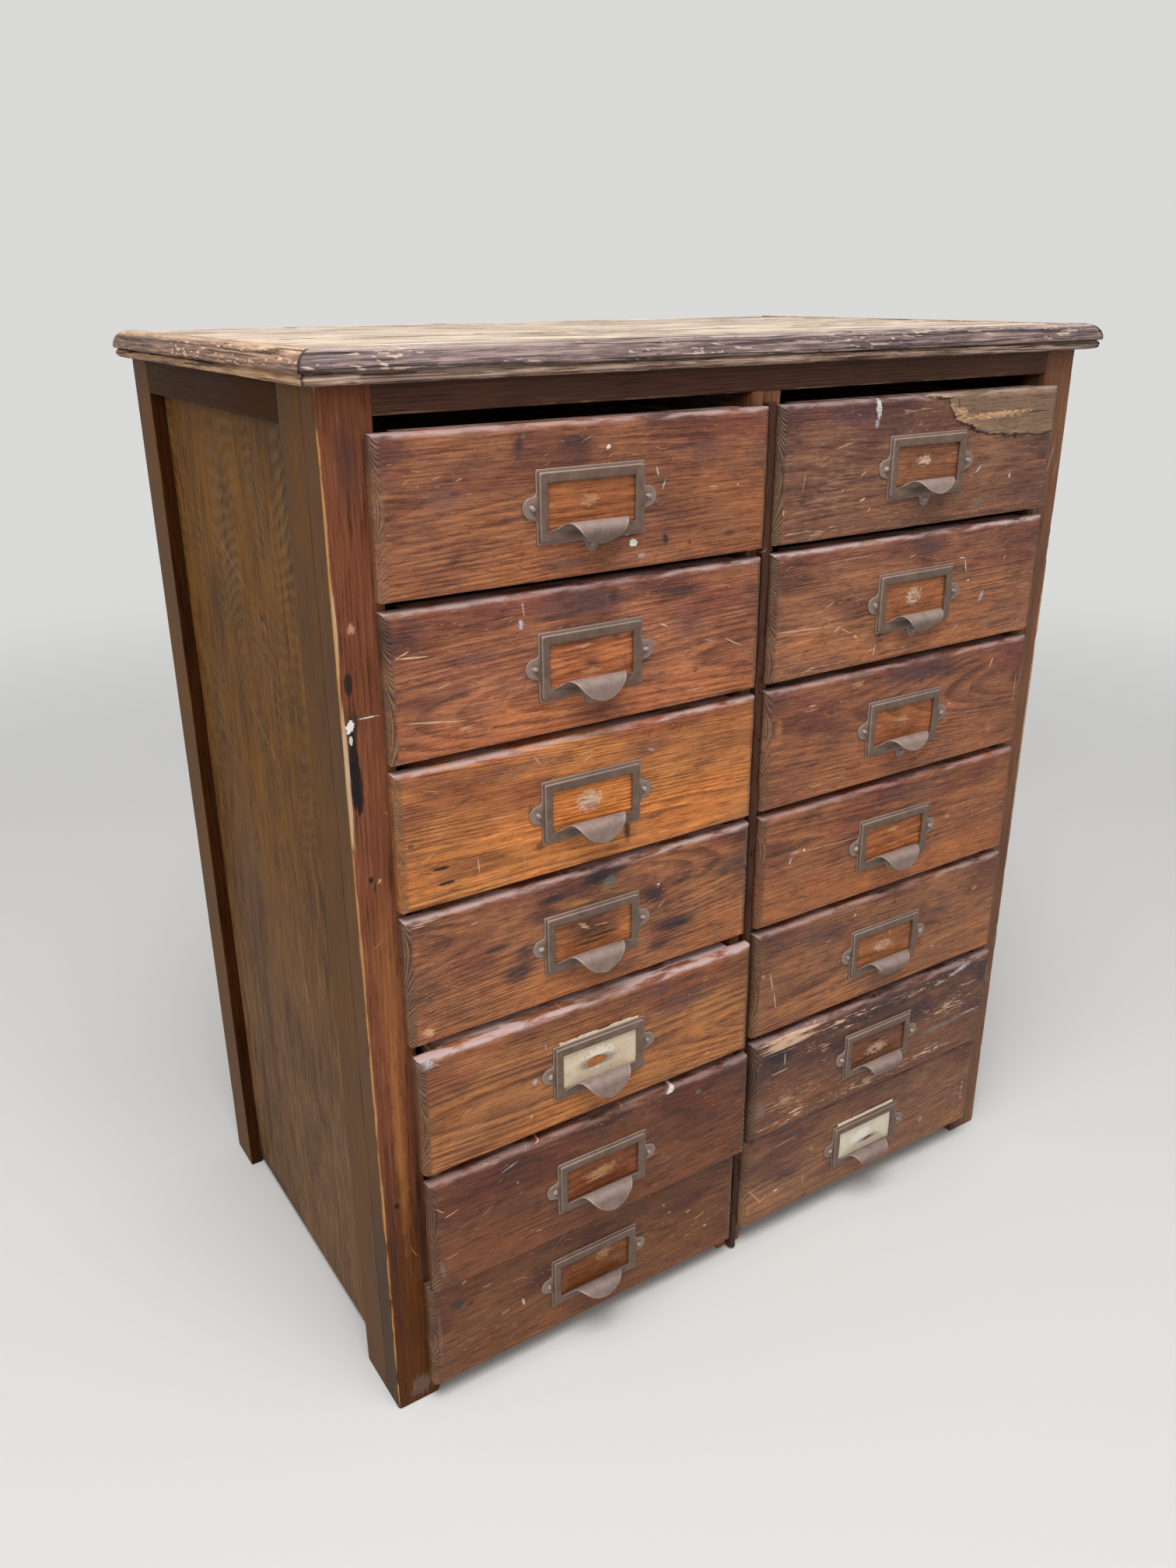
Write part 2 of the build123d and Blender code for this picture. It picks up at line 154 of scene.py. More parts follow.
def addBoard(pile, lo, hi, along, seed, corners=((0.8, 0.4),) * 4, outline=None, step=None, across=None, carve=None,
             shift=0.0):
    # a board swept along its grain; each turn of its section has a radius and says how rubbed it is
    sizes = boardSizes
    u, v = (along + 1) % 3, (along + 2) % 3
    lo, hi = np.asarray(lo, float), np.asarray(hi, float)
    if outline is None:
        spots = ((lo[u], lo[v]), (hi[u], lo[v]), (hi[u], hi[v]), (lo[u], hi[v]))
        outline = [(*spot, *corner) for spot, corner in zip(spots, corners)]
    count = max(2, int(round((hi[along] - lo[along]) / (step or sizes["step"]))) + 1)
    runs = np.linspace(lo[along] + sizes["endStep"], hi[along] - sizes["endStep"], count)
    runs = np.concatenate([[lo[along]], runs, [hi[along]]])
    spots = np.array([corner[:2] for corner in outline])
    turns = np.radians(np.linspace(0, 90, sizes["bits"] + 1))
    arcs = []
    for n, (_, _, radius, _) in enumerate(outline):
        back, on = spots[n - 1] - spots[n], spots[(n + 1) % len(spots)] - spots[n]
        back, on = back / np.linalg.norm(back), on / np.linalg.norm(on)
        if not radius:
            arcs.append(np.broadcast_to(spots[n], (len(runs), 1, 2)))
            continue
        wear = 0.55 + 0.5 * layeredNoise(runs / sizes["slowWear"], n * 7.3, seed + n)
        wear = wear + 0.9 * smoothStep(layeredNoise(runs / sizes["quickWear"], n * 5.1, seed + 40 + n), 0.55, 0.8)
        bend = (1 - np.sin(turns))[:, None] * back + (1 - np.cos(turns))[:, None] * on
        arcs.append(spots[n] + radius * wear[:, None, None] * bend)
    parts = []
    for n, arc in enumerate(arcs):
        following = arcs[(n + 1) % len(arcs)][:, 0]
        gap = np.linalg.norm(following[0] - arc[0, -1])
        pieces = max(1, int(round(gap / (across or sizes["across"]))))
        share = np.arange(1, pieces) / pieces
        if gap > 3 * sizes["margin"]:  # a narrow strip along each arris, so that wear stays there
            inset = sizes["margin"] / gap
            share = np.concatenate([[inset], share[(share > 1.5 * inset) & (share < 1 - 1.5 * inset)], [1 - inset]])
        share = share[:, None]
        parts += [arc, arc[:, -1:] * (1 - share) + following[:, None] * share]
    rings = np.concatenate(parts, 1)
    depth = np.zeros(rings.shape[:2])
    if carve:
        depth = depth + carve(runs[:, None] - lo[along], rings, ringNormals(rings))
    depth[[0, -1]] += sizes["endInset"]
    near = np.linalg.norm(rings[:, :, None] - spots, axis=3)
    rubbedness = np.clip(1 - near / sizes["rubReach"], 0, 1) * np.array([corner[3] for corner in outline])
    rings = rings - ringNormals(rings) * depth[..., None]
    points = np.zeros((*rings.shape[:2], 3))
    points[..., along] = runs[:, None]
    points[..., u], points[..., v] = rings[..., 0], rings[..., 1]
    middle = (lo + hi) / 2
    board = (points - middle)[..., [along, u, v]] * mm + (shift, 0, 0)  # shifted for a grain of its own
    addToPile(pile, points.reshape(-1, 3) * mm, tubeFaces(*rings.shape[:2]), board.reshape(-1, 3),
              rubbedness.max(2).ravel())


origin, black = (0, 0, 0), (0, 0, 0, 1)


class Wire:  # an output of a node, so that sums and products of outputs can be written as such
    __array_ufunc__ = None  # numpy numbers leave the sum to the wire

    def __init__(self, socket):
        self.socket = socket

    def __add__(self, other):
        return calc("ADD", self, other)

    def __radd__(self, other):
        return calc("ADD", other, self)

    def __sub__(self, other):
        return calc("SUBTRACT", self, other)

    def __rsub__(self, other):
        return calc("SUBTRACT", other, self)

    def __mul__(self, other):
        return calc("MULTIPLY", self, other)

    def __truediv__(self, other):
        return calc("DIVIDE", self, other)

    def __abs__(self):
        return calc("ABSOLUTE", self)


def socketOf(value):
    return value.socket if isinstance(value, Wire) else value


def wiresOf(sockets):
    return {socket.name: Wire(socket) for socket in sockets}


def plug(socket, value):
    value = socketOf(value)
    if isinstance(value, bpy.types.NodeSocket):
        socket.id_data.links.new(value, socket)
    elif socket.type == "RGBA" and len(value) == 3:
        socket.default_value = (*value, 1)
    else:
        socket.default_value = value


def addNode(tree, kind, inputs=None, **settings):
    made = tree.nodes.new(kind)
    for key, value in settings.items():
        setattr(made, key, value)
    for key, value in (inputs or {}).items():
        plug(made.inputs[key], value)
    return made


def grow(kind, inputs, **settings):  # a node in the tree that its inputs come from
    sockets = [value for value in map(socketOf, inputs.values()) if isinstance(value, bpy.types.NodeSocket)]
    return addNode(sockets[0].id_data, kind, inputs, **settings)


def calc(operation, a, b=0.0, clamp=False):  # on vectors if either value is a vector or a colour
    isVector = any(isinstance(value, tuple) or getattr(value, "type", "") in ("VECTOR", "RGBA")
                   for value in (socketOf(a), socketOf(b)))
    if isVector:
        return Wire(grow("ShaderNodeVectorMath", {0: a, 1: b}, operation=operation).outputs[0])
    return Wire(grow("ShaderNodeMath", {0: a, 1: b}, operation=operation, use_clamp=clamp).outputs[0])


def ease(value, low, high, start=0.0, end=1.0, way="SMOOTHSTEP"):  # from start at low to end at high
    inputs = {0: value, 1: low, 2: high, 3: start, 4: end}
    return Wire(grow("ShaderNodeMapRange", inputs, interpolation_type=way).outputs[0])


def swing(value, amount):  # a noise from 0 to 1 turned into one around zero
    return (value - 0.5) * amount


def mixColour(amount, a, b, way="MIX"):
    return Wire(grow("ShaderNodeMix", {0: amount, 6: a, 7: b}, data_type="RGBA", blend_type=way).outputs[2])


def tint(amount, colour, factor):  # multiply a colour, by an amount
    return mixColour(amount, colour, factor, "MULTIPLY")


def noiseOn(vector, scale, detail=2.0, roughness=0.5, stretch=(1, 1, 1), shift=(0, 0, 0), colour=False):
    inputs = {"Vector": vector * stretch + shift, "Scale": scale, "Detail": detail, "Roughness": roughness}
    return Wire(grow("ShaderNodeTexNoise", inputs).outputs[1 if colour else 0])


def splitVector(vector):
    return [Wire(socket) for socket in grow("ShaderNodeSeparateXYZ", {0: vector}).outputs]


def joinVector(x, y, z=0.0):
    return Wire(grow("ShaderNodeCombineXYZ", {0: x, 1: y, 2: z}).outputs[0])


def evenVector(value):
    return joinVector(value, value, value)


def lengthOf(vector):
    return Wire(grow("ShaderNodeVectorMath", {0: vector}, operation="LENGTH").outputs["Value"])


def turnBack(vector, turn):  # round z
    inputs = {"Vector": vector, "Angle": turn * -1.0}
    return Wire(grow("ShaderNodeVectorRotate", inputs, rotation_type="Z_AXIS").outputs[0])


def readPlace(tree):  # object coordinates
    return Wire(tree.nodes.new("ShaderNodeTexCoord").outputs["Object"])


def readNormal(tree):
    return splitVector(tree.nodes.new("ShaderNodeNewGeometry").outputs["Normal"])


def attributeOf(tree, name, part="Fac"):
    return Wire(addNode(tree, "ShaderNodeAttribute", attribute_name=name).outputs[part])


def socketKind(value):
    if isinstance(value, tuple):
        return "NodeSocketVector" if len(value) == 3 else "NodeSocketColor"
    return {float: "NodeSocketFloat", int: "NodeSocketInt"}.get(type(value), "NodeSocketGeometry")


def newGroup(name, takes, gives, kind="ShaderNodeTree"):  # each socket's kind follows from its first value
    tree = bpy.data.node_groups.new(name, kind)
    for way, sockets in (("INPUT", takes), ("OUTPUT", gives)):
        for label, value in sockets.items():
            socket = tree.interface.new_socket(label, in_out=way, socket_type=socketKind(value))
            if value is not None:
                socket.default_value = value
    return tree, wiresOf(tree.nodes.new("NodeGroupInput").outputs), tree.nodes.new("NodeGroupOutput").inputs


def useGroup(group, **inputs):
    named = {key.replace("_", " "): value for key, value in inputs.items()}
    return wiresOf(grow("ShaderNodeGroup", named, node_tree=group).outputs)


def makeAgedWood():
    # growth rings round a pith line that wanders along the board, fibres between them, blotches over all
    tree, given, out = newGroup(
        "agedWood",
        {"Vector": origin, "Dark": black, "Mid": black, "Light": black, "Pith": (0, 0.06, 0), "Drift": origin,
         "Ring Width": 0.003, "Ring Depth": 0.3, "Fibre Depth": 1.0, "Blotch": 1.2, "Wander": 0.012, "Seed": 0.0},
        {"Color": black, "Height": 0.0, "Tone": 0.0, "Rings": 0.0})
    seed = joinVector(given["Seed"], given["Seed"] * 1.7, 0.0)
    vector = given["Vector"]
    along = splitVector(vector)[0]
    slow = noiseOn(vector, 1.0, 1.0, 0.5, (2.6, 11, 11), seed, colour=True)
    slow = (slow - (0.5, 0.5, 0.5)) * evenVector(given["Wander"])
    drift = given["Drift"] * evenVector(along)
    moved = vector - (given["Pith"] + drift)
    moved = (moved + slow) * (0, 1, 1)
    years = lengthOf(moved) / given["Ring Width"]
    pace = noiseOn(joinVector(years, given["Seed"], 0.0), 0.3, 1.0)
    year = calc("FRACT", years + pace * 2.0)
    late = ease(year, 0.2, 0.85) * ease(year, 0.88, 1.0, 1.0, 0.0)
    shown = ease(noiseOn(vector, 1.0, 2.0, 0.5, (6, 22, 22), seed), 0.35, 0.65, 0.35, 1.0)
    rings = late * shown
    fine = noiseOn(vector, 1.0, 3.0, 0.7, (28, 720, 720), seed)
    streak = noiseOn(vector, 1.0, 3.0, 0.65, (6, 260, 260), seed)
    blotch = noiseOn(vector, 1.0, 4.0, 0.6, (11, 24, 24), seed)
    fibre = (swing(fine, 2.2) + swing(streak, 0.8)) * given["Fibre Depth"]
    tone = 0.5 + swing(blotch, 1.0) * given["Blotch"] + fibre
    tone = tone - (rings - 0.3) * given["Ring Depth"]
    low = mixColour(ease(tone, -0.1, 0.5), given["Dark"], given["Mid"])
    plug(out["Color"], mixColour(ease(tone, 0.5, 1.1), low, given["Light"]))
    plug(out["Height"], fine * 0.5 + rings * 0.45 + streak * 0.3)
    plug(out["Tone"], tone)
    plug(out["Rings"], rings)
    return tree


def makeScratches():
    # one short bent stroke in some of the cells of a plane
    tree, given, out = newGroup(
        "scratches",
        {"Vector": origin, "Cells": 50.0, "Length": 0.007, "Width": 0.0004, "Lean": 0.3, "Spread": 1.2, "Bend": 60.0,
         "Share": 0.4, "Seed": 0.0},
        {"Mask": 0.0})
    cells = joinVector(given["Cells"], given["Cells"], 0.0)
    seed = joinVector(given["Seed"], given["Seed"], 0.0)
    placed = given["Vector"] * cells + seed
    cell = grow("ShaderNodeTexVoronoi", {"Vector": placed, "Scale": 1.0, "Randomness": 1.0},
                voronoi_dimensions="2D", feature="F1")
    chance = [Wire(socket) for socket in grow("ShaderNodeSeparateColor", {0: cell.outputs["Color"]}).outputs]
    local = (placed - cell.outputs["Position"]) / cells
    turn = given["Lean"] + (chance[0] - 0.5) * given["Spread"]
    x, y, _ = splitVector(turnBack(local, turn))
    bow = x * x * (given["Bend"] * (chance[1] - 0.5))
    reach = given["Length"] * (0.25 + chance[2])
    alongPart = ease(abs(x) / reach, 0.4, 1.0, 1.0, 0.0)
    acrossPart = ease(abs(y + bow) / given["Width"], 0.3, 1.0, 1.0, 0.0)
    lot = calc("FRACT", chance[0] * 7.13 + chance[2] * 3.71)
    plug(out["Mask"], alongPart * acrossPart * calc("LESS_THAN", lot, given["Share"]))
    return tree


def makeSpot():
    # an ellipse with a ragged border, for a stain, a knot, a stroke or a chip at one place
    tree, given, out = newGroup(
        "spot",
        {"Vector": origin, "Centre": origin, "Size": (1, 1, 1), "Turn": 0.0, "Ragged": 0.5, "Soft": 0.5, "Thin": 0.0,
         "Grain": (90, 300, 1)},
        {"Mask": 0.0})
    local = given["Vector"] - given["Centre"]
    scaled = turnBack(local, given["Turn"]) / given["Size"]
    rough = noiseOn(given["Vector"] * given["Grain"], 1.0, 3.0, 0.6)
    ragged = lengthOf(scaled) + given["Thin"] + (rough - 0.5) * given["Ragged"]
    plug(out["Mask"], ease(ragged, 1.0 - given["Soft"], 1.0, 1.0, 0.0))
    return tree


def makeRubbed():
    # where handling has taken the finish off an arris: the attribute edge, broken up by noise
    tree, given, out = newGroup("rubbed", {"Vector": origin, "Edge": 0.0, "Reach": 0.5, "Grain": (60, 260, 260)},
                                {"Mask": 0.0})
    rough = noiseOn(given["Vector"] * given["Grain"], 1.0, 4.0, 0.65)
    level = given["Edge"] + swing(rough, 1.6)
    start = 1.0 - given["Reach"]
    plug(out["Mask"], ease(level, start, start + 0.3) * ease(given["Edge"], 0.0, 0.25))
    return tree


def makeSettled():
    # dust that lies on faces that look up; the same mask carries a painted sheen of sky reflection there
    tree, given, out = newGroup("settled", {"Vector": origin, "From": 0.4, "Grain": 150.0}, {"Mask": 0.0})
    level = ease(readNormal(tree)[2], given["From"], 1.0)
    rough = noiseOn(given["Vector"], given["Grain"], 4.0, 0.6)
    plug(out["Mask"], level * ease(rough, 0.36, 0.62))
    return tree


def makeChecks():
    # long thin splits along the grain, where a stretched noise crosses its middle
    tree, given, out = newGroup(
        "checks", {"Vector": origin, "Across": 45.0, "Width": 0.02, "Share": 0.5, "Seed": 0.0}, {"Mask": 0.0})
    seed = joinVector(given["Seed"], 0.0, given["Seed"])
    stretch = joinVector(3.2, given["Across"], given["Across"])
    level = noiseOn(given["Vector"] * stretch, 1.0, 2.0, 0.45, shift=seed)
    line = ease(abs(level - 0.5) / given["Width"], 0.3, 1.0, 1.0, 0.0)
    place = noiseOn(given["Vector"] * (7, 40, 40), 1.0, 2.0, 0.5, shift=seed)
    start = 0.75 - given["Share"] * 0.5
    plug(out["Mask"], line * ease(place, start, start + 0.06, way="LINEAR"))
    return tree


agedWood = makeAgedWood()
scratches = makeScratches()
spot = makeSpot()
rubbed = makeRubbed()
settled = makeSettled()
checks = makeChecks()


scratchKinds = {  # cells in a metre, length, width, lean, spread of the lean, bend
    "long": (36.0, 0.008, 0.00042, 0.12, 0.9, 70.0), "short": (120.0, 0.003, 0.00034, 0.05, 0.9, 120.0),
    "dark": (70.0, 0.007, 0.0005, 0.3, 1.8, 90.0), "board": (30.0, 0.008, 0.0006, 0.2, 1.6, 60.0),
}


def scratchMask(kind, plane, share, seed):
    cells, length, width, lean, spread, bend = scratchKinds[kind]
    return useGroup(scratches, Vector=plane, Cells=cells, Length=length, Width=width, Lean=lean, Spread=spread,
                    Bend=bend, Share=share, Seed=seed)["Mask"]


def newMaterial(name):
    material = bpy.data.materials.new(name)
    material.use_nodes = True
    tree = material.node_tree
    return material, tree, tree.nodes["Principled BSDF"]


def readPiece(tree):  # place on the board and closeness to a rubbed edge
    return attributeOf(tree, "board", "Vector"), attributeOf(tree, "edge")


def dressShader(shader, colour, roughness, height, strength, distance, specular=0.5):
    bump = grow("ShaderNodeBump", {"Strength": strength, "Distance": distance, "Height": height}).outputs[0]
    for name, value in (("Base Color", colour), ("Roughness", roughness), ("Specular IOR Level", specular),
                        ("Normal", bump)):
        plug(shader.inputs[name], value)


print("shader groups made:", len(bpy.data.node_groups))


def looksFrom(names, rows):  # settings from rows of values in the names' order; rarer ones are named at a row's end
    looks = {}
    for key, values in rows.items():
        more = values[-1] if isinstance(values[-1], dict) else {}
        looks[key] = {**dict(zip(names, values)), **more}
    return looks


# sheen is the colour of the dust and the painted sky reflection on the upper rolls
frontFinish = {
    "roughLow": 0.42, "roughHigh": 0.64, "specular": 0.22, "bumpDepth": 0.0006, "wander": 0.011,
    "grime": (0.04, 0.024, 0.026), "sheen": (0.43, 0.31, 0.29), "bare": (0.6, 0.33, 0.17), "pore": (0.3, 0.22, 0.2),
    "mottle": (0.36, 0.3, 0.34), "lifted": (0.52, 0.27, 0.14), "orange": (1.5, 1.22, 0.8), "purple": (0.7, 0.58, 0.74),
    "endGrain": (0.34, 0.33, 0.38), "endRings": (0.34, 0.225, 0.13), "polish": (1.9, 1.8, 1.7),
    "windowX": (0.037, 0.04), "windowZ": (0.0165, 0.019), "endsFrom": (0.157, 0.1615), "sideGrime": (0.115, 0.162),
}

# tones of each front, the lie of its rings, and how grimy, warm, rubbed and scratched it is; sheen is how much dust
# and painted sky reflection lie on its upper roll
frontLooks = looksFrom(("mid", "pith", "drift", "ring", "rings", "grime", "warm", "cuts", "sheen", "ends"), {
    "L1": ((0.247, 0.095, 0.047), (0.07, 0.012), (0.02, 0.03), 0.0026, 0.35, 0.5, 0.45, 0.45, 0.7, 0.55),
    "L2": ((0.294, 0.109, 0.055), (0.09, -0.02), (-0.02, 0.02), 0.0024, 0.3, 0.6, 0.65, 0.6, 0.85),
    "L3": ((0.436, 0.163, 0.05), (0.05, -0.03), (0.01, -0.03), 0.0026, 0.42, 0.25, 0.5, 0.45, 0.85, 0.65),
    "L4": ((0.292, 0.116, 0.051), (0.08, 0.03), (0.03, 0.01), 0.0027, 0.35, 0.65, 0.5, 0.5, 0.9),
    "L5": ((0.302, 0.121, 0.045), (0.06, -0.01), (-0.02, -0.02), 0.003, 0.5, 0.25, 0.5, 0.35, 0.95),
    "L6": ((0.156, 0.056, 0.026), (0.1, 0.02), (0.02, 0.0), 0.0028, 0.2, 0.5, 0.3, 0.4, 0.35, 0.7),
    "L7": ((0.161, 0.062, 0.027), (0.05, 0.0), (0.04, 0.02), 0.003, 0.25, 0.35, 0.3, 0.55, 0.05, 0.5),
    "R1": ((0.182, 0.083, 0.051), (0.08, 0.0), (0.02, 0.02), 0.0024, 0.25, 0.5, 0.3, 0.7, 0.55),
    "R2": ((0.276, 0.114, 0.058), (0.07, -0.03), (0.0, 0.03), 0.0026, 0.3, 0.4, 0.55, 0.75, 1.0),
    "R3": ((0.248, 0.095, 0.048), (0.09, 0.02), (-0.03, 0.01), 0.0028, 0.35, 0.4, 0.4, 0.4, 0.6, 0.7),
    "R4": ((0.281, 0.106, 0.046), (0.06, 0.02), (0.01, -0.02), 0.003, 0.4, 0.35, 0.45, 0.4, 0.45, 0.8),
    "R5": ((0.244, 0.102, 0.05), (0.08, -0.01), (0.02, -0.01), 0.0028, 0.3, 0.35, 0.45, 0.35, 0.5, 0.8),
    "R6": ((0.15, 0.066, 0.041), (0.07, 0.03), (0.03, 0.02), 0.0026, 0.3, 0.75, 0.4, 1.0, 0.4),
    "R7": ((0.218, 0.1, 0.052), (0.06, -0.02), (-0.01, 0.02), 0.003, 0.3, 0.35, 0.35, 0.5, 0.3, 0.5),
})

markKinds = {  # colour, ragged, soft, thin, grain along and across
    "stain": ((0.024, 0.018, 0.024), 1.0, 0.85, 0, (45, 130, 1)),
    "smear": ((0.085, 0.05, 0.055), 1.0, 0.95, 0, (40, 110, 1)),
    "black": ((0.014, 0.01, 0.01), 0.9, 0.35, 0, (60, 300, 1)),
    "paint": ((0.72, 0.7, 0.66), 1.8, 0.3, 0, (420, 420, 1)),
    "haze": ((0.5, 0.48, 0.56), 1.7, 0.8, 0, (420, 420, 1)),
    "orange": ((0.5, 0.2, 0.055), 0.9, 0.85, 0, (60, 180, 1)),
    "pale": ((0.66, 0.38, 0.2), 2.2, 0.4, 0.25, (200, 700, 1)),
    "cream": ((0.66, 0.42, 0.27), 4.6, 0.4, 0.8, (62, 520, 1)),
    "striped": ((0.6, 0.38, 0.25), 2.4, 0.3, 0.2, (9, 330, 1)),
    "torn": ((0.64, 0.42, 0.3), 2.4, 0.35, 0.1, (300, 480, 1)),
    "under": ((0.42, 0.21, 0.14), 1.6, 0.4, 0, (230, 330, 1)),
    "worn": ((0.46, 0.32, 0.2), 1.3, 0.3, 0, (30, 500, 1)),
    "green": ((0.14, 0.15, 0.12), 0.9, 0.7, 0, (200, 200, 1)),
    "knot": ((0.06, 0.036, 0.022), 0.8, 0.5, 0, (260, 320, 1)),
    "stroke": ((0.68, 0.44, 0.27), 0.5, 0.35, 0.15, (200, 200, 1)),
    "whiteStroke": ((0.6, 0.56, 0.53), 0.6, 0.4, 0.15, (240, 240, 1)),
    "grey": ((0.2, 0.165, 0.13), 1.6, 0.6, 0, (90, 400, 1)),
}

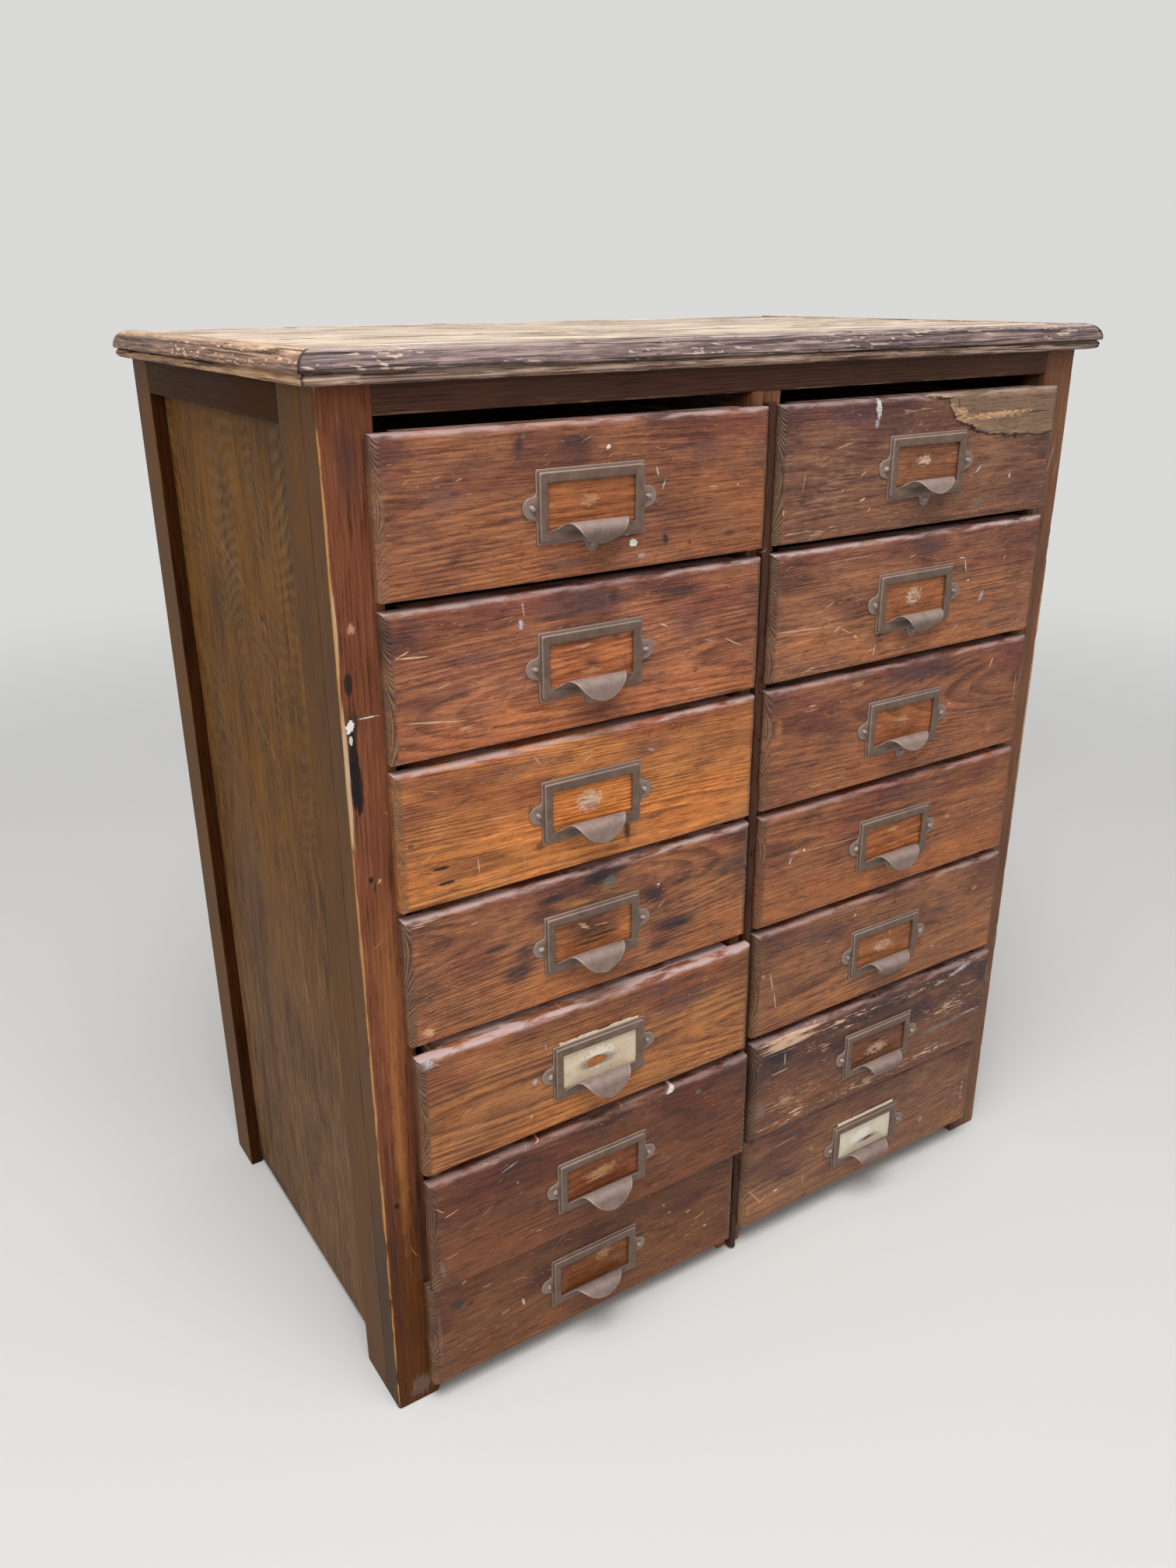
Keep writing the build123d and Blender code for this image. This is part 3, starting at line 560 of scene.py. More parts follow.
# marks on each front by kind: place from the middle of its pull and half sizes in mm, strength, turn in degrees
frontMarks = {
    "L1": [
        ("stain", (-58, 43, 9, 7, 0.8, 70), (-14, 42, 22, 7, 0.55), (-52, 30, 26, 5, 0.35, 8),
         (-110, -28, 12, 5, 0.5, 30)), ("smear", (-116, 12, 30, 16, 0.5), (-20, -42, 40, 8, 0.5)),
        ("green", (-54.5, 48.5, 2.4, 1.8, 0.9)), ("paint", (15, 37, 2.2, 1.6, 0.9, 20), (37, -33, 4, 3, 1.0),
         (31, -26, 2.4, 1.2, 0.9, 10)), ("haze", (44, -43, 4, 2.5, 0.6)), ("stain", (66, -33, 3.4, 7, 0.9, 8),
         (89, -38, 2.6, 2.4, 0.8), (127, -35, 9, 4.5, 0.7)), ("whiteStroke", (58, 17, 0.8, 4, 0.8, 15),
         (64, 7, 0.7, 5, 0.7, -22)), ("stroke", (110, 1.5, 5, 0.7, 0.7, -2), (134, 1, 1.2, 1, 0.8)),
        ("pale", (-2, 2, 11, 5, 0.45)), ("stain", (0, -4.5, 10, 0.9, 0.7, -3)),
        ("stroke", (-104, 24, 3.5, 0.5, 0.7, 15)), ("smear", (100, 30, 34, 14, 0.3)),
        # the last stain, under the pull's low ear, is the ear's painted shadow
        ("stain", (3, -31, 12, 4, 0.7))],
    "L2": [
        ("smear", (0, 44, 60, 14, 0.75)), ("stain", (20, 45, 7, 10, 0.5), (-30, 36, 36, 3.5, 0.55),
         (84, 40, 34, 6, 0.45)), ("smear", (90, 10, 26, 20, 0.5), (-96, 16, 30, 7, 0.5)),
        ("haze", (-59, 35, 2.4, 5, 1.0), (-57, 46, 0.7, 8, 0.8, 8)), ("stroke", (-144, 24, 14, 0.8, 0.9, -4),
         (-152, 27, 7, 0.7, 0.8, 22), (-122, 0, 7, 0.6, 0.7, 12), (-130, -25, 28, 0.7, 0.85, -8),
         (67, 16, 6.5, 0.8, 0.9, -28), (136, -8, 11, 0.7, 0.85, -27), (112, -3, 6, 0.5, 0.6, -15)),
        ("stain", (1, -3, 11, 4.5, 0.8)), ("pale", (-6, 11, 8, 2, 0.6), (0, -9, 12, 2.4, 0.6)),
        ("knot", (99, -25, 3.6, 2.6, 0.6)), ("stain", (10, -42, 50, 9, 0.5)), ("stroke", (100, -41, 12, 0.5, 0.7)),
        ("stain", (22, 14, 6, 2, 0.6)), ("pale", (-106, -34, 6, 2, 0.5, 10))],
    "L3": [
        ("stain", (34, -34, 4.5, 13, 0.9)), ("black", (32, -24, 9, 3, 0.8)), ("stain", (-48, -26, 7, 5, 0.75),
         (-55, 6, 4, 8, 0.5)), ("black", (-132, -22.5, 9, 1.6, 0.95), (-128, -35.5, 8, 1.8, 0.9),
         (-142, -24, 4, 0.6, 0.8)), ("stain", (54, -3, 6, 7, 0.35)), ("torn", (-2, 1, 13, 9, 1.0)),
        ("under", (0, -3, 8, 3.4, 0.9)), ("pale", (-2, 9, 7, 2.5, 0.8)), ("stroke", (-101, -28, 0.7, 9, 0.6, 6),
         (-61, -36, 0.6, 7, 0.5), (-48, 44, 0.7, 5.5, 0.8, 38), (-3, 37, 6, 0.6, 0.8, 22), (-5, 42, 8, 0.5, 0.7, 3)),
        ("haze", (56, 32, 5, 1.4, 0.8, -20)), ("knot", (-155, 1, 3, 2.4, 0.7), (-110, 26, 12, 2.2, 0.45, 22)),
        ("smear", (-60, 42, 60, 9, 0.35), (60, 36, 50, 7, 0.3)), ("orange", (-60, -36, 50, 10, 0.35))],
    "L4": [
        ("stain", (8, 48, 30, 9, 0.95), (-36, 40, 22, 5, 0.8)), ("green", (17, 41, 9, 7.5, 0.85, 30)),
        ("stain", (-70, -16, 26, 12, 0.85), (-88, 12, 16, 3.4, 0.8, 3), (-62, 2, 14, 12, 0.6), (62, 18, 20, 12, 0.85),
         (84, -16, 32, 9, 0.85), (66, -32, 18, 8, 0.7), (30, -42, 40, 8, 0.5), (92, 22, 18, 4, 0.6)),
        ("orange", (-14, 30, 22, 2.4, 0.8), (30, 30, 16, 2, 0.5)), ("stain", (0, 4, 44, 20, 0.66)),
        ("pale", (-8, 8, 7, 2.5, 0.85, -35), (10, 5, 9, 0.8, 0.7, -8)), ("black", (12, -4, 18, 1.0, 0.9),
         (0, -8, 20, 0.8, 0.8)), ("cream", (-152, 52, 12, 3, 0.8)), ("pale", (-150, -42, 6, 5.5, 0.75)),
        ("stroke", (-107, 40, 4, 0.5, 0.7, 10)), ("paint", (66, 25, 1.6, 1, 0.9)), ("smear", (-40, 24, 26, 6, 0.5)),
        ("stroke", (70, 6, 7, 0.7, 0.5, 40))],
    "L5": [
        # the first haze, at the upper left corner, is a painted sheen; the cream beside it is pale abrasions
        ("haze", (-158, 52, 9, 5, 0.7)), ("cream", (-150, 50, 8, 1.2, 0.6, -30)), ("stroke", (-67, -33, 1.6, 2, 0.8)),
        ("haze", (-63, 0, 3.4, 3.6, 0.7), (-52, 30, 0.8, 5, 0.6, 5)), ("smear", (90, 24, 44, 16, 0.45),
         (60, 44, 50, 8, 0.4)), ("stroke", (112, 38, 4, 0.5, 0.6), (-124, -3, 8, 0.8, 0.4, 35)),
        ("orange", (60, -32, 50, 10, 0.3)), ("stain", (-120, -46, 30, 3, 0.5)), ("stroke", (117, -39, 3, 0.8, 0.7))],
    "L6": [
        ("whiteStroke", (-91, 45, 11, 0.5, 0.8, 17)), ("stroke", (-146, 23, 8, 0.8, 0.8, 14),
         (-157, 31, 7, 0.8, 0.7, -45)), ("paint", (74, 54, 6, 2, 0.8, 20)), ("green", (105, 41, 4.5, 3.4, 0.8)),
        ("grey", (-157, -30, 3, 12, 0.5, 10)), ("stroke", (-148, -20, 8, 0.6, 0.5, 5)),
        ("pale", (-84, 26, 1.4, 1.4, 0.7)), ("stroke", (-65, -34, 4, 0.6, 0.6, -8)), ("pale", (0, 0, 22, 7, 0.45)),
        ("stroke", (-6, -5, 12, 0.7, 0.7, 3)), ("stain", (10, 50, 40, 6, 0.5), (-66, -6, 5, 14, 0.35),
         (70, -26, 40, 12, 0.3))],
    "L7": [
        ("knot", (-139, 28, 9, 6, 0.8)), ("stain", (-127, 22, 5, 3, 0.5)), ("stroke", (-75, -4, 1.6, 5, 0.8, 14),
         (-110, 33, 6, 0.6, 0.6, 4), (-132, 48, 3, 1.2, 0.7, 30), (108, 9, 3, 0.9, 0.8, 20),
         (122, -3, 8, 0.7, 0.8, 15), (79, 30, 1, 2.4, 0.7, 10)), ("pale", (86, 18, 2.6, 2, 0.7),
         (-94, -6, 6, 1.6, 0.5, 8), (109, -20, 5, 1, 0.5, -8)), ("paint", (129, -18, 1.6, 1, 0.7)),
        ("pale", (10, 8, 10, 8, 0.4)), ("stain", (54, 38, 16, 10, 0.4)), ("grey", (-157, 0, 2.5, 40, 0.35)),
        ("stain", (100, 20, 40, 5, 0.3))],
    "R1": [
        ("knot", (-157, 42, 4, 3.8, 0.85), (-149, 40, 3, 2.2, 0.7, -40), (-139, -17, 6, 4.5, 0.75, 10)),
        ("paint", (-61, 49, 3.4, 9, 0.8, 3)), ("haze", (-62, 37, 3, 5, 0.7)), ("black", (17, 52.4, 16, 0.7, 0.85, 3),
         (34, 47.5, 0.8, 5, 0.85, 8), (126, 35.5, 36, 0.6, 0.9, 1.5)), ("pale", (84, 36, 50, 3, 0.8, 1),
         (40, 40, 9, 4, 0.8, -20)), ("cream", (-20, 44, 30, 3, 0.35), (-110, -10, 44, 20, 0.22, 20)),
        ("stroke", (-138, -4, 0.6, 9, 0.6, -8), (-72, -23, 4, 1.2, 0.9, 20), (-64, -32, 3, 0.8, 0.8, 45),
         (-73, -2, 4, 0.8, 0.7, 30), (-96, -14, 3, 0.6, 0.6, 45)), ("haze", (67, -9, 6, 1.6, 0.8, 40)),
        ("paint", (109, -18, 1.2, 2.6, 0.9)), ("stroke", (-96, 22, 12, 0.7, 0.6, 12)), ("torn", (-3, 3.5, 9, 5, 1.0)),
        ("stain", (-4, 0, 6, 1.6, 0.9)), ("cream", (-120, -44, 40, 3, 0.55), (-35, -40, 6, 3, 0.6, 20)),
        ("smear", (-90, 44, 40, 9, 0.6), (-30, 34, 30, 6, 0.5)), ("stroke", (-158, -26, 1, 3, 0.8)),
        ("grey", (70, -38, 14, 5, 0.4)), ("stain", (-146, 28, 6, 4, 0.5), (-44, 10, 6, 20, 0.3))],
    "R2": [
        ("stroke", (-128, -10, 38, 0.8, 0.8, -3), (-80, -18, 10, 0.6, 0.6, -25), (-90, -15, 6, 0.8, 0.8, 30),
         (-68, -25, 3, 1.4, 0.7, -35), (-44, -40, 0.9, 6, 0.8, -10), (-48, -40, 6, 0.7, 0.7, 15)),
        ("whiteStroke", (64, 20, 0.8, 8, 0.9, 14), (58, 29, 5, 0.8, 0.8, -8)), ("paint", (69, 7, 1.4, 1, 0.8)),
        ("haze", (89, -10, 3, 8, 0.6, -28)), ("stain", (-39, -28, 6, 4, 0.7)), ("torn", (-1, 2, 10, 8.5, 0.95)),
        ("under", (0, 2, 6, 3, 0.8)), ("stain", (0, -1, 7, 1.2, 0.85), (1, -5, 10, 0.9, 0.7)),
        ("stroke", (-100, 8, 6, 0.7, 0.6, 25), (-6, 38, 5, 0.6, 0.7, 10)), ("smear", (14, 44, 40, 9, 0.6)),
        ("cream", (-110, -45, 30, 2.4, 0.5), (0, -43, 34, 1.4, 0.5)), ("stroke", (116, 23, 1, 3, 0.6, -25)),
        ("black", (142, -40, 1, 2.6, 0.7)), ("stroke", (58, -35, 6, 0.8, 0.5, 35), (-80, 44, 36, 0.5, 0.5, 1))],
    "R3": [
        ("smear", (20, 44, 70, 12, 0.7)), ("stain", (55, 42, 10, 5, 0.5)), ("stroke", (115, 38, 1.2, 6, 0.7, -25)),
        ("stain", (90, 16, 3, 10, 0.5, -10)), ("stroke", (-113, 36, 5, 1, 0.6)), ("pale", (-116, 32, 8, 1.6, 0.4),
         (0, 2, 11, 6, 0.4)), ("smear", (-2, -1, 10, 3, 0.6)), ("stroke", (62, 6, 2.4, 1, 0.7)),
        ("pale", (-60, 46, 10, 3, 0.4)), ("stroke", (122, -30, 0.8, 7, 0.35)), ("cream", (-100, -40, 40, 2, 0.35)),
        ("stain", (-36, 28, 14, 4, 0.4)), ("orange", (-150, 22, 6, 14, 0.5)), ("stroke", (154, 6, 0.8, 20, 0.4))],
    "R4": [
        ("haze", (-123, 15, 9, 1.2, 0.7), (-129, 8, 1.8, 4, 0.8, -20)), ("paint", (-113, 15, 1.6, 1.4, 0.9)),
        ("smear", (20, 42, 70, 12, 0.5)), ("stroke", (-80, 12, 40, 0.6, 0.5, -2)), ("pale", (74, 3, 4, 2.4, 0.5),
         (0, 8, 8, 3, 0.6)), ("smear", (-2, -2, 13, 5, 0.6)), ("stroke", (0, -8, 12, 0.7, 0.6),
         (130, -4, 30, 0.6, 0.4, 3)), ("stain", (-96, 44, 5, 4, 0.4)), ("stroke", (125, -22, 3, 0.6, 0.5, 20))],
    "R5": [
        ("stroke", (-144.5, 4, 0.7, 12, 0.9, 12), (-139, -18, 0.8, 11, 0.9, 11)),
        ("pale", (-42, 44, 1.8, 2.6, 0.8, -30)), ("stroke", (-155, 13, 1.6, 2.4, 0.6)),
        ("torn", (0, -2, 15, 6, 0.75)), ("under", (2, -2, 7, 3, 0.7)), ("pale", (8, 11, 2, 3, 0.6, 30)),
        ("stroke", (-75, 25, 4, 0.6, 0.6)), ("smear", (80, 14, 30, 10, 0.5), (-90, 34, 60, 10, 0.4)),
        ("stroke", (90, -20, 40, 0.5, 0.4, 2)), ("pale", (72, -26, 3, 2.4, 0.5), (128, 26, 5, 3, 0.4)),
        ("stain", (10, 43, 4, 4, 0.5)), ("orange", (-120, -34, 40, 8, 0.4))],
    "R6": [
        ("stain", (-136, 36, 32, 13, 1.0, -10), (10, 42, 150, 11, 0.6), (40, 20, 110, 16, 0.35)),
        ("striped", (-122, 47, 34, 8, 1.0, 3), (-126, 54, 36, 3, 1.0)), ("cream", (-56, 46, 60, 4, 1.0),
         (60, 44, 60, 4, 0.9), (-38, 37, 16, 1.5, 0.9), (130, 28, 24, 2.4, 0.7), (-90, 28, 18, 3.4, 0.6),
         (-70, 24, 8, 4, 0.7, 10), (-72, 8, 10, 3, 0.7)), ("stroke", (-130, 17, 14, 0.8, 0.8, 2)),
        ("cream", (-128, -8, 14, 4, 0.4), (-104, -37, 20, 4, 1.0), (-110, -43, 40, 3, 1.0), (-10, -41, 54, 6, 1.0),
         (76, -38, 40, 6, 1.0), (-120, -20, 30, 10, 0.5), (100, 10, 30, 10, 0.8)),
        ("grey", (96, -12, 42, 4, 0.75, 2)), ("haze", (140, -9, 18, 1.6, 0.7), (116, 50, 22, 3.4, 0.8, 12)),
        ("torn", (0, -4, 16, 7, 0.75)), ("stain", (-2, 6, 12, 3, 0.7), (-2, -5, 5, 2.6, 0.9)),
        ("stroke", (-125, 30, 0.9, 8, 0.7)), ("grey", (-153, -20, 8, 12, 0.5))],
    "R7": [
        ("stroke", (-148, -14, 0.8, 18, 0.6, 38), (-138, -22, 8, 0.8, 0.6, 35)), ("stain", (-106, -4, 22, 12, 0.5)),
        ("paint", (-121, -18, 3, 1.4, 0.9, 8)), ("cream", (152, -4, 1.6, 40, 0.7), (148, -6, 9, 2, 0.7)),
        ("stroke", (-110, 38, 20, 0.7, 0.6, 4)), ("pale", (-74, 14, 3, 3, 0.5), (88, -18, 4, 4, 0.5)),
        ("stroke", (130, 10, 14, 0.5, 0.4, -14)), ("smear", (60, 44, 60, 9, 0.4)),
        ("stroke", (-84, -20, 0.8, 10, 0.4, 12))],
}


def placeMark(colour, plane, kind, x, z, halfWidth, halfHeight, strength, turn=0):
    tone, ragged, soft, thin, grain = markKinds[kind]
    size = (halfWidth * (1 + thin) * mm, halfHeight * (1 + thin) * mm, 1)
    mask = useGroup(spot, Vector=plane, Centre=(x * mm, z * mm, 0), Size=size, Turn=math.radians(turn), Ragged=ragged,
                    Soft=soft, Thin=thin, Grain=grain)["Mask"]
    return mixColour(mask * strength, colour, tone)


def placeMarks(colour, plane, marks):
    for kind, *places in marks:
        for place in places:
            colour = placeMark(colour, plane, kind, *place)
    return colour


def makeFrontMaterial(name, number):
    look, finish = frontLooks[name], frontFinish
    material, tree, shader = newMaterial("stainedFront_" + name)
    local, edge = readPiece(tree)
    x, _, z = splitVector(local)
    plane = joinVector(x, z)
    mid = np.array(look["mid"])
    wood = useGroup(agedWood, Vector=local, Dark=tuple(mid * (0.5, 0.47, 0.5)), Mid=tuple(mid),
                    Light=tuple(mid * (1.55, 1.62, 1.5)), Pith=(0, *look["pith"]), Drift=(0, *look["drift"]),
                    Ring_Width=look["ring"] * 0.66, Ring_Depth=look["rings"] * 1.7, Fibre_Depth=1.15, Blotch=1.5,
                    Wander=finish["wander"], Seed=number * 3.7)
    colour = wood["Color"]
    # orange wood low down, purple brown high up, and clean wood in the window of the pull
    drifting = noiseOn(plane, 1.0, 3.0, 0.55, (10, 24, 1), (number * 1.9, number * 4.3, 0))
    level = drifting - z * 2.6
    inWindow = ease(abs(x), *finish["windowX"], 1.0, 0.0) * ease(abs(z), *finish["windowZ"], 1.0, 0.0)
    warm = calc("MAXIMUM", ease(level, 0.45, 0.75) * look["warm"], inWindow * 0.6)
    colour = tint(warm, colour, finish["orange"])
    purple = ease(level, 0.5, 0.28) * (1.0 - inWindow)
    colour = tint(purple, colour, finish["purple"])
    # grime from hands and shelves, strongest high up and round the pull
    dirt = noiseOn(plane, 1.0, 5.0, 0.62, (16, 42, 1), (number * 7.3, number * 0.9, 0))
    around = lengthOf(plane * (11, 20, 0))
    dirt = dirt + z * 1.7 + ease(around, 0.35, 1.1, 0.08, 0.0) + ease(abs(x), *finish["sideGrime"], 0.0, 0.11)
    dirt = ease(dirt, 0.5, 0.78) * look["grime"] * (1.0 - inWindow * 0.8)
    colour = mixColour(dirt, colour, finish["grime"])
    if name == tornFront["name"]:
        colour = colourTornLayer(colour, plane)
    colour = placeMarks(colour, plane, frontMarks[name])
    # mottled old finish, pores darker than the wood, and pale strokes down to bare wood
    mottle = noiseOn(plane, 1.0, 5.0, 0.75, (40, 140, 1), (number * 5.1, number * 2.3, 0))
    colour = tint(ease(mottle, 0.5, 0.66, 0.0, 0.5), colour, finish["mottle"])
    colour = mixColour(ease(mottle, 0.38, 0.26, 0.0, 0.45), colour, finish["lifted"])
    pores = noiseOn(local, 1.0, 2.0, 0.5, (70, 900, 900), (0, number, 0))
    colour = tint(ease(pores, 0.52, 0.72, 0.0, 0.55), colour, finish["pore"])
    patchy = ease(noiseOn(plane, 24.0, 2.0, 0.5, (1, 1, 1), (number * 3.3, 0, 0)), 0.45, 0.62)
    long = scratchMask("long", plane, look["cuts"] * 0.7, number * 11.0)
    short = scratchMask("short", plane, look["cuts"] * 0.9, number * 17.0)
    cuts = calc("MULTIPLY", calc("MAXIMUM", long, short), 0.12 + patchy, clamp=True)
    dark = scratchMask("dark", plane, look["grime"] * 0.6, number * 23.0)
    colour = mixColour(dark * 0.6, colour, finish["grime"])
    colour = mixColour(cuts * 0.6, colour, finish["bare"])
    # worn arrises, end grain on the left and right rolls, and on the upper roll a grey film that is partly dust and
    # partly a painted sky reflection
    ends = ease(abs(x), *finish["endsFrom"])
    colour = tint(ends * look.get("ends", 1.0), colour, finish["endGrain"])
    colour = mixColour(ends * wood["Rings"] * 0.55, colour, finish["endRings"])
    worn = useGroup(rubbed, Vector=local, Edge=edge, Reach=0.25)["Mask"]
    colour = tint(worn * 0.6, colour, finish["polish"])
    # dust and a painted sky sheen on the faces that look up
    dustAndSheen = useGroup(settled, Vector=local * (0.25, 1, 1), From=0.08, Grain=130.0)
    dustAndSheen = calc("MULTIPLY", dustAndSheen["Mask"], 1.5, clamp=True) * look["sheen"]
    colour = mixColour(dustAndSheen, colour, finish["sheen"])
    rough = calc("ADD", ease(wood["Tone"], 0.0, 1.0, finish["roughLow"], finish["roughHigh"]), cuts * 0.2, clamp=True)
    dressShader(shader, colour, rough, wood["Height"] - cuts * 0.7, 0.4, finish["bumpDepth"], finish["specular"])
    return material


frontSizes = {
    "roll": 5.4, "rollPlay": 0.9, "footRoll": 2.6, "lip": 11.0, "nibble": 0.35, "dents": 22, "fineStep": 2.4,
    "pullBelowTop": 56.45, "faceWave": 0.15, "fullHeight": 108.5, "edgeReach": 7.0, "rubReach": 4.5, "wallRub": 0.35,
    "cutRoll": 0.8, "chips": 0.35, "dentReach": (1.2, 3.6), "dentDepth": (0.1, 0.35), "lipLeft": 1.5,
}
# the lifted layer at the upper right of one front: its lower border, in mm from the middle of the pull
tornFront = {
    "name": "R1", "step": 1.3, "deep": 0.9, "waver": 2.6, "grooves": 0.35, "fade": 16, "beyond": (0.24, 0.155, 0.095),
    # under is the colour of the painted shadow below the border
    "fibres": (0.5, 0.32, 0.17), "under": (0.012, 0.007, 0.006),
    "border": [(-10, 56), (22, 53), (24, 45), (27, 40), (34, 34), (48, 29), (62, 24), (74, 21), (88, 19), (102, 17.5),
               (130, 17), (165, 17)],
}


def rollDepth(inside, radius):  # how far a quarter round lies behind the face, this far in from its edge
    part = np.clip(1 - inside / radius, 0, 1)
    return radius * (1 - np.sqrt(1 - part * part))


def lineUp(length, radiusLow, radiusHigh, step):  # places along a side, close together on the rolls
    turns = np.radians(np.arange(0, 91, 15))
    low = radiusLow * (1 - np.cos(turns))
    high = length - radiusHigh * (1 - np.cos(turns))[::-1]
    middle = np.linspace(low[-1], high[0], max(2, int(round((high[0] - low[-1]) / step)) + 1))[1:-1]
    return np.concatenate([low, middle, high])


def tornDepth(x, z, seed):  # how far the wood under the torn layer's border lies back
    sizes, border = tornFront, np.array(tornFront["border"], float)
    edgeZ = np.interp(x, border[:, 0], border[:, 1]) + sizes["waver"] * (layeredNoise(x / 7, 2.0, seed) - 0.5)
    below = smoothStep(edgeZ - z, 0.0, 1.2)
    inside = smoothStep(x, -12, -8)
    grooves = sizes["grooves"] * smoothStep(layeredNoise(x / 30, z / 2.2, seed + 9), 0.5, 0.7) * (1 - below)
    return inside * (sizes["deep"] * below * np.exp(-np.maximum(edgeZ - z, 0) / sizes["fade"]) + grooves)


def markTornLayer(piece, centre):  # how far above the border each point lies, for the material
    mesh = piece.data
    border = np.array(tornFront["border"], float) * mm
    points = np.empty(len(mesh.vertices) * 3)
    mesh.vertices.foreach_get("co", points)
    points = points.reshape(-1, 3) - centre
    above = points[:, 2] - np.interp(points[:, 0], border[:, 0], border[:, 1])
    above[points[:, 0] < border[0, 0]] = -0.02
    writeAttribute(mesh, "layer", above)


def colourTornLayer(colour, plane):  # painted shadow under the border, pale fibres above it, greyer wood beyond
    above = attributeOf(plane.socket.id_data, "layer")
    ragged = swing(noiseOn(plane, 1.0, 3.0, 0.65, (230, 330, 1)), 0.006)
    above = above + ragged + swing(noiseOn(plane, 1.0, 2.0, 0.6, (60, 190, 1)), 0.008)
    fibres = noiseOn(plane, 1.0, 3.0, 0.6, (60, 600, 1))
    colour = mixColour(ease(above, 0.0, 0.0008, 0.0, 0.7), colour, tornFront["beyond"])
    left = ease(splitVector(plane)[0], 0.075, 0.02, 0.25, 1.0)
    pale = ease(above, 0.0, 0.0006) * ease(above, 0.014, 0.002) * (ease(fibres, 0.42, 0.6) * left)
    colour = mixColour(pale, colour, tornFront["fibres"])
    # painted shadow in a narrow band just below the border of the lifted layer
    under = ease(above, -0.0022, -0.0006) * ease(above, 0.0003, -0.0001)
    return mixColour(under * 0.92, colour, tornFront["under"])


def makeFront(name, number):
    sizes = frontSizes
    lo, hi = boxOf(f"drawer_{name}_front")
    width, height = hi[0] - lo[0], hi[2] - lo[2]
    cutOff = height < sizes["fullHeight"] - 1  # planed off below, so no roll there
    footRoll = sizes["cutRoll"] if cutOff else sizes["footRoll"]
    step = tornFront["step"] if name == tornFront["name"] else sizes["fineStep"]
    along = lineUp(width, sizes["roll"], sizes["roll"], max(step, 2.0))
    up = lineUp(height, footRoll, sizes["roll"], step)
    x, z = np.meshgrid(along, up, indexing="ij")
    rng = np.random.default_rng(100 + number)
    radius = sizes["roll"] + sizes["rollPlay"] * (layeredNoise(x / 24, z / 24, 200 + number) - 0.5) * 2
    sides = rollDepth(np.minimum(x, width - x), radius)
    depth = np.maximum(np.maximum(sides, rollDepth(height - z, radius)), rollDepth(z, footRoll))
    inside = np.minimum(np.minimum(x, width - x), np.minimum(z, height - z))
    nearEdge = np.clip(1 - inside / sizes["edgeReach"], 0, 1)
    depth += sizes["faceWave"] * layeredNoise(x / 70, z / 30, 300 + number)
    lengthwise = np.where(np.minimum(z, height - z) < np.minimum(x, width - x), x / 26 + z / 3, x / 3 + z / 12)
    depth += sizes["chips"] * nearEdge * smoothStep(layeredNoise(lengthwise, z / 5, 400 + number), 0.55, 0.85)
    for _ in range(sizes["dents"]):  # knocks, most of them near an edge
        spotX = rng.uniform(0, width)
        spotZ = height * rng.choice([rng.uniform(0, 1), rng.uniform(0.9, 1), rng.uniform(0, 0.08)])
        reach, deep = rng.uniform(*sizes["dentReach"]), rng.uniform(*sizes["dentDepth"])
        depth += deep * np.exp(-((x - spotX) / reach / 2.2) ** 2 - ((z - spotZ) / reach) ** 2)
    if name == tornFront["name"]:
        depth += tornDepth(x - width / 2, z - (height - sizes["pullBelowTop"]), 350)
    depth = np.minimum(depth, sizes["lip"] - sizes["lipLeft"])
    nibble = sizes["nibble"] * nearEdge ** 2 * layeredNoise(x / 20, z / 20, 500 + number)
    nearX, nearZ = (np.clip(1 - np.minimum(at, size - at) / sizes["edgeReach"], 0, 1)
                    for at, size in ((x, width), (z, height)))
    shiftX = np.where(x < width / 2, nibble, -nibble) * nearX
    shiftZ = np.where(z < height / 2, nibble, -nibble) * nearZ
    countX, countZ = x.shape
    face = np.stack([x + shiftX, depth, z + shiftZ], -1).reshape(-1, 3)
    index = np.arange(countX * countZ).reshape(countX, countZ)
    faces = [[index[i, j], index[i + 1, j], index[i + 1, j + 1], index[i, j + 1]]
             for i in range(countX - 1) for j in range(countZ - 1)]
    border = [*index[:, 0], *index[-1, 1:], *index[-2::-1, -1], *index[0, -2:0:-1]]
    points, ring, wall = [face], border, len(face)
    for part in (0.5, 1.0):
        rim = face[border].copy()
        rim[:, 1] += (sizes["lip"] - rim[:, 1]) * part
        points.append(rim)
        fresh = list(range(wall, wall + len(border)))
        faces += skirtFaces(ring, fresh)
        ring, wall = fresh, wall + len(border)
    faces.append(ring)
    faces = [[int(corner) for corner in corners] for corners in faces]
    points = (np.concatenate(points) + lo) * mm
    centre = np.array([(lo[0] + hi[0]) / 2, lo[1], hi[2] - sizes["pullBelowTop"]]) * mm
    edgeFace = np.clip(1 - inside / sizes["rubReach"], 0, 1).ravel()
    edges = np.concatenate([edgeFace, np.full(len(points) - len(edgeFace), sizes["wallRub"])])
    pile = newPile()
    addToPile(pile, points, faces, points - centre, edges)
    addSockets(pile, nodes[f"drawer_{name}_front"], (lo[1] + sizes["lip"] - 0.4) * mm, centre)
    piece = pieceFrom(pile, "front_" + name)
    if name == tornFront["name"]:
        markTornLayer(piece, centre)
    piece.data.materials.append(makeFrontMaterial(name, number))
    return piece


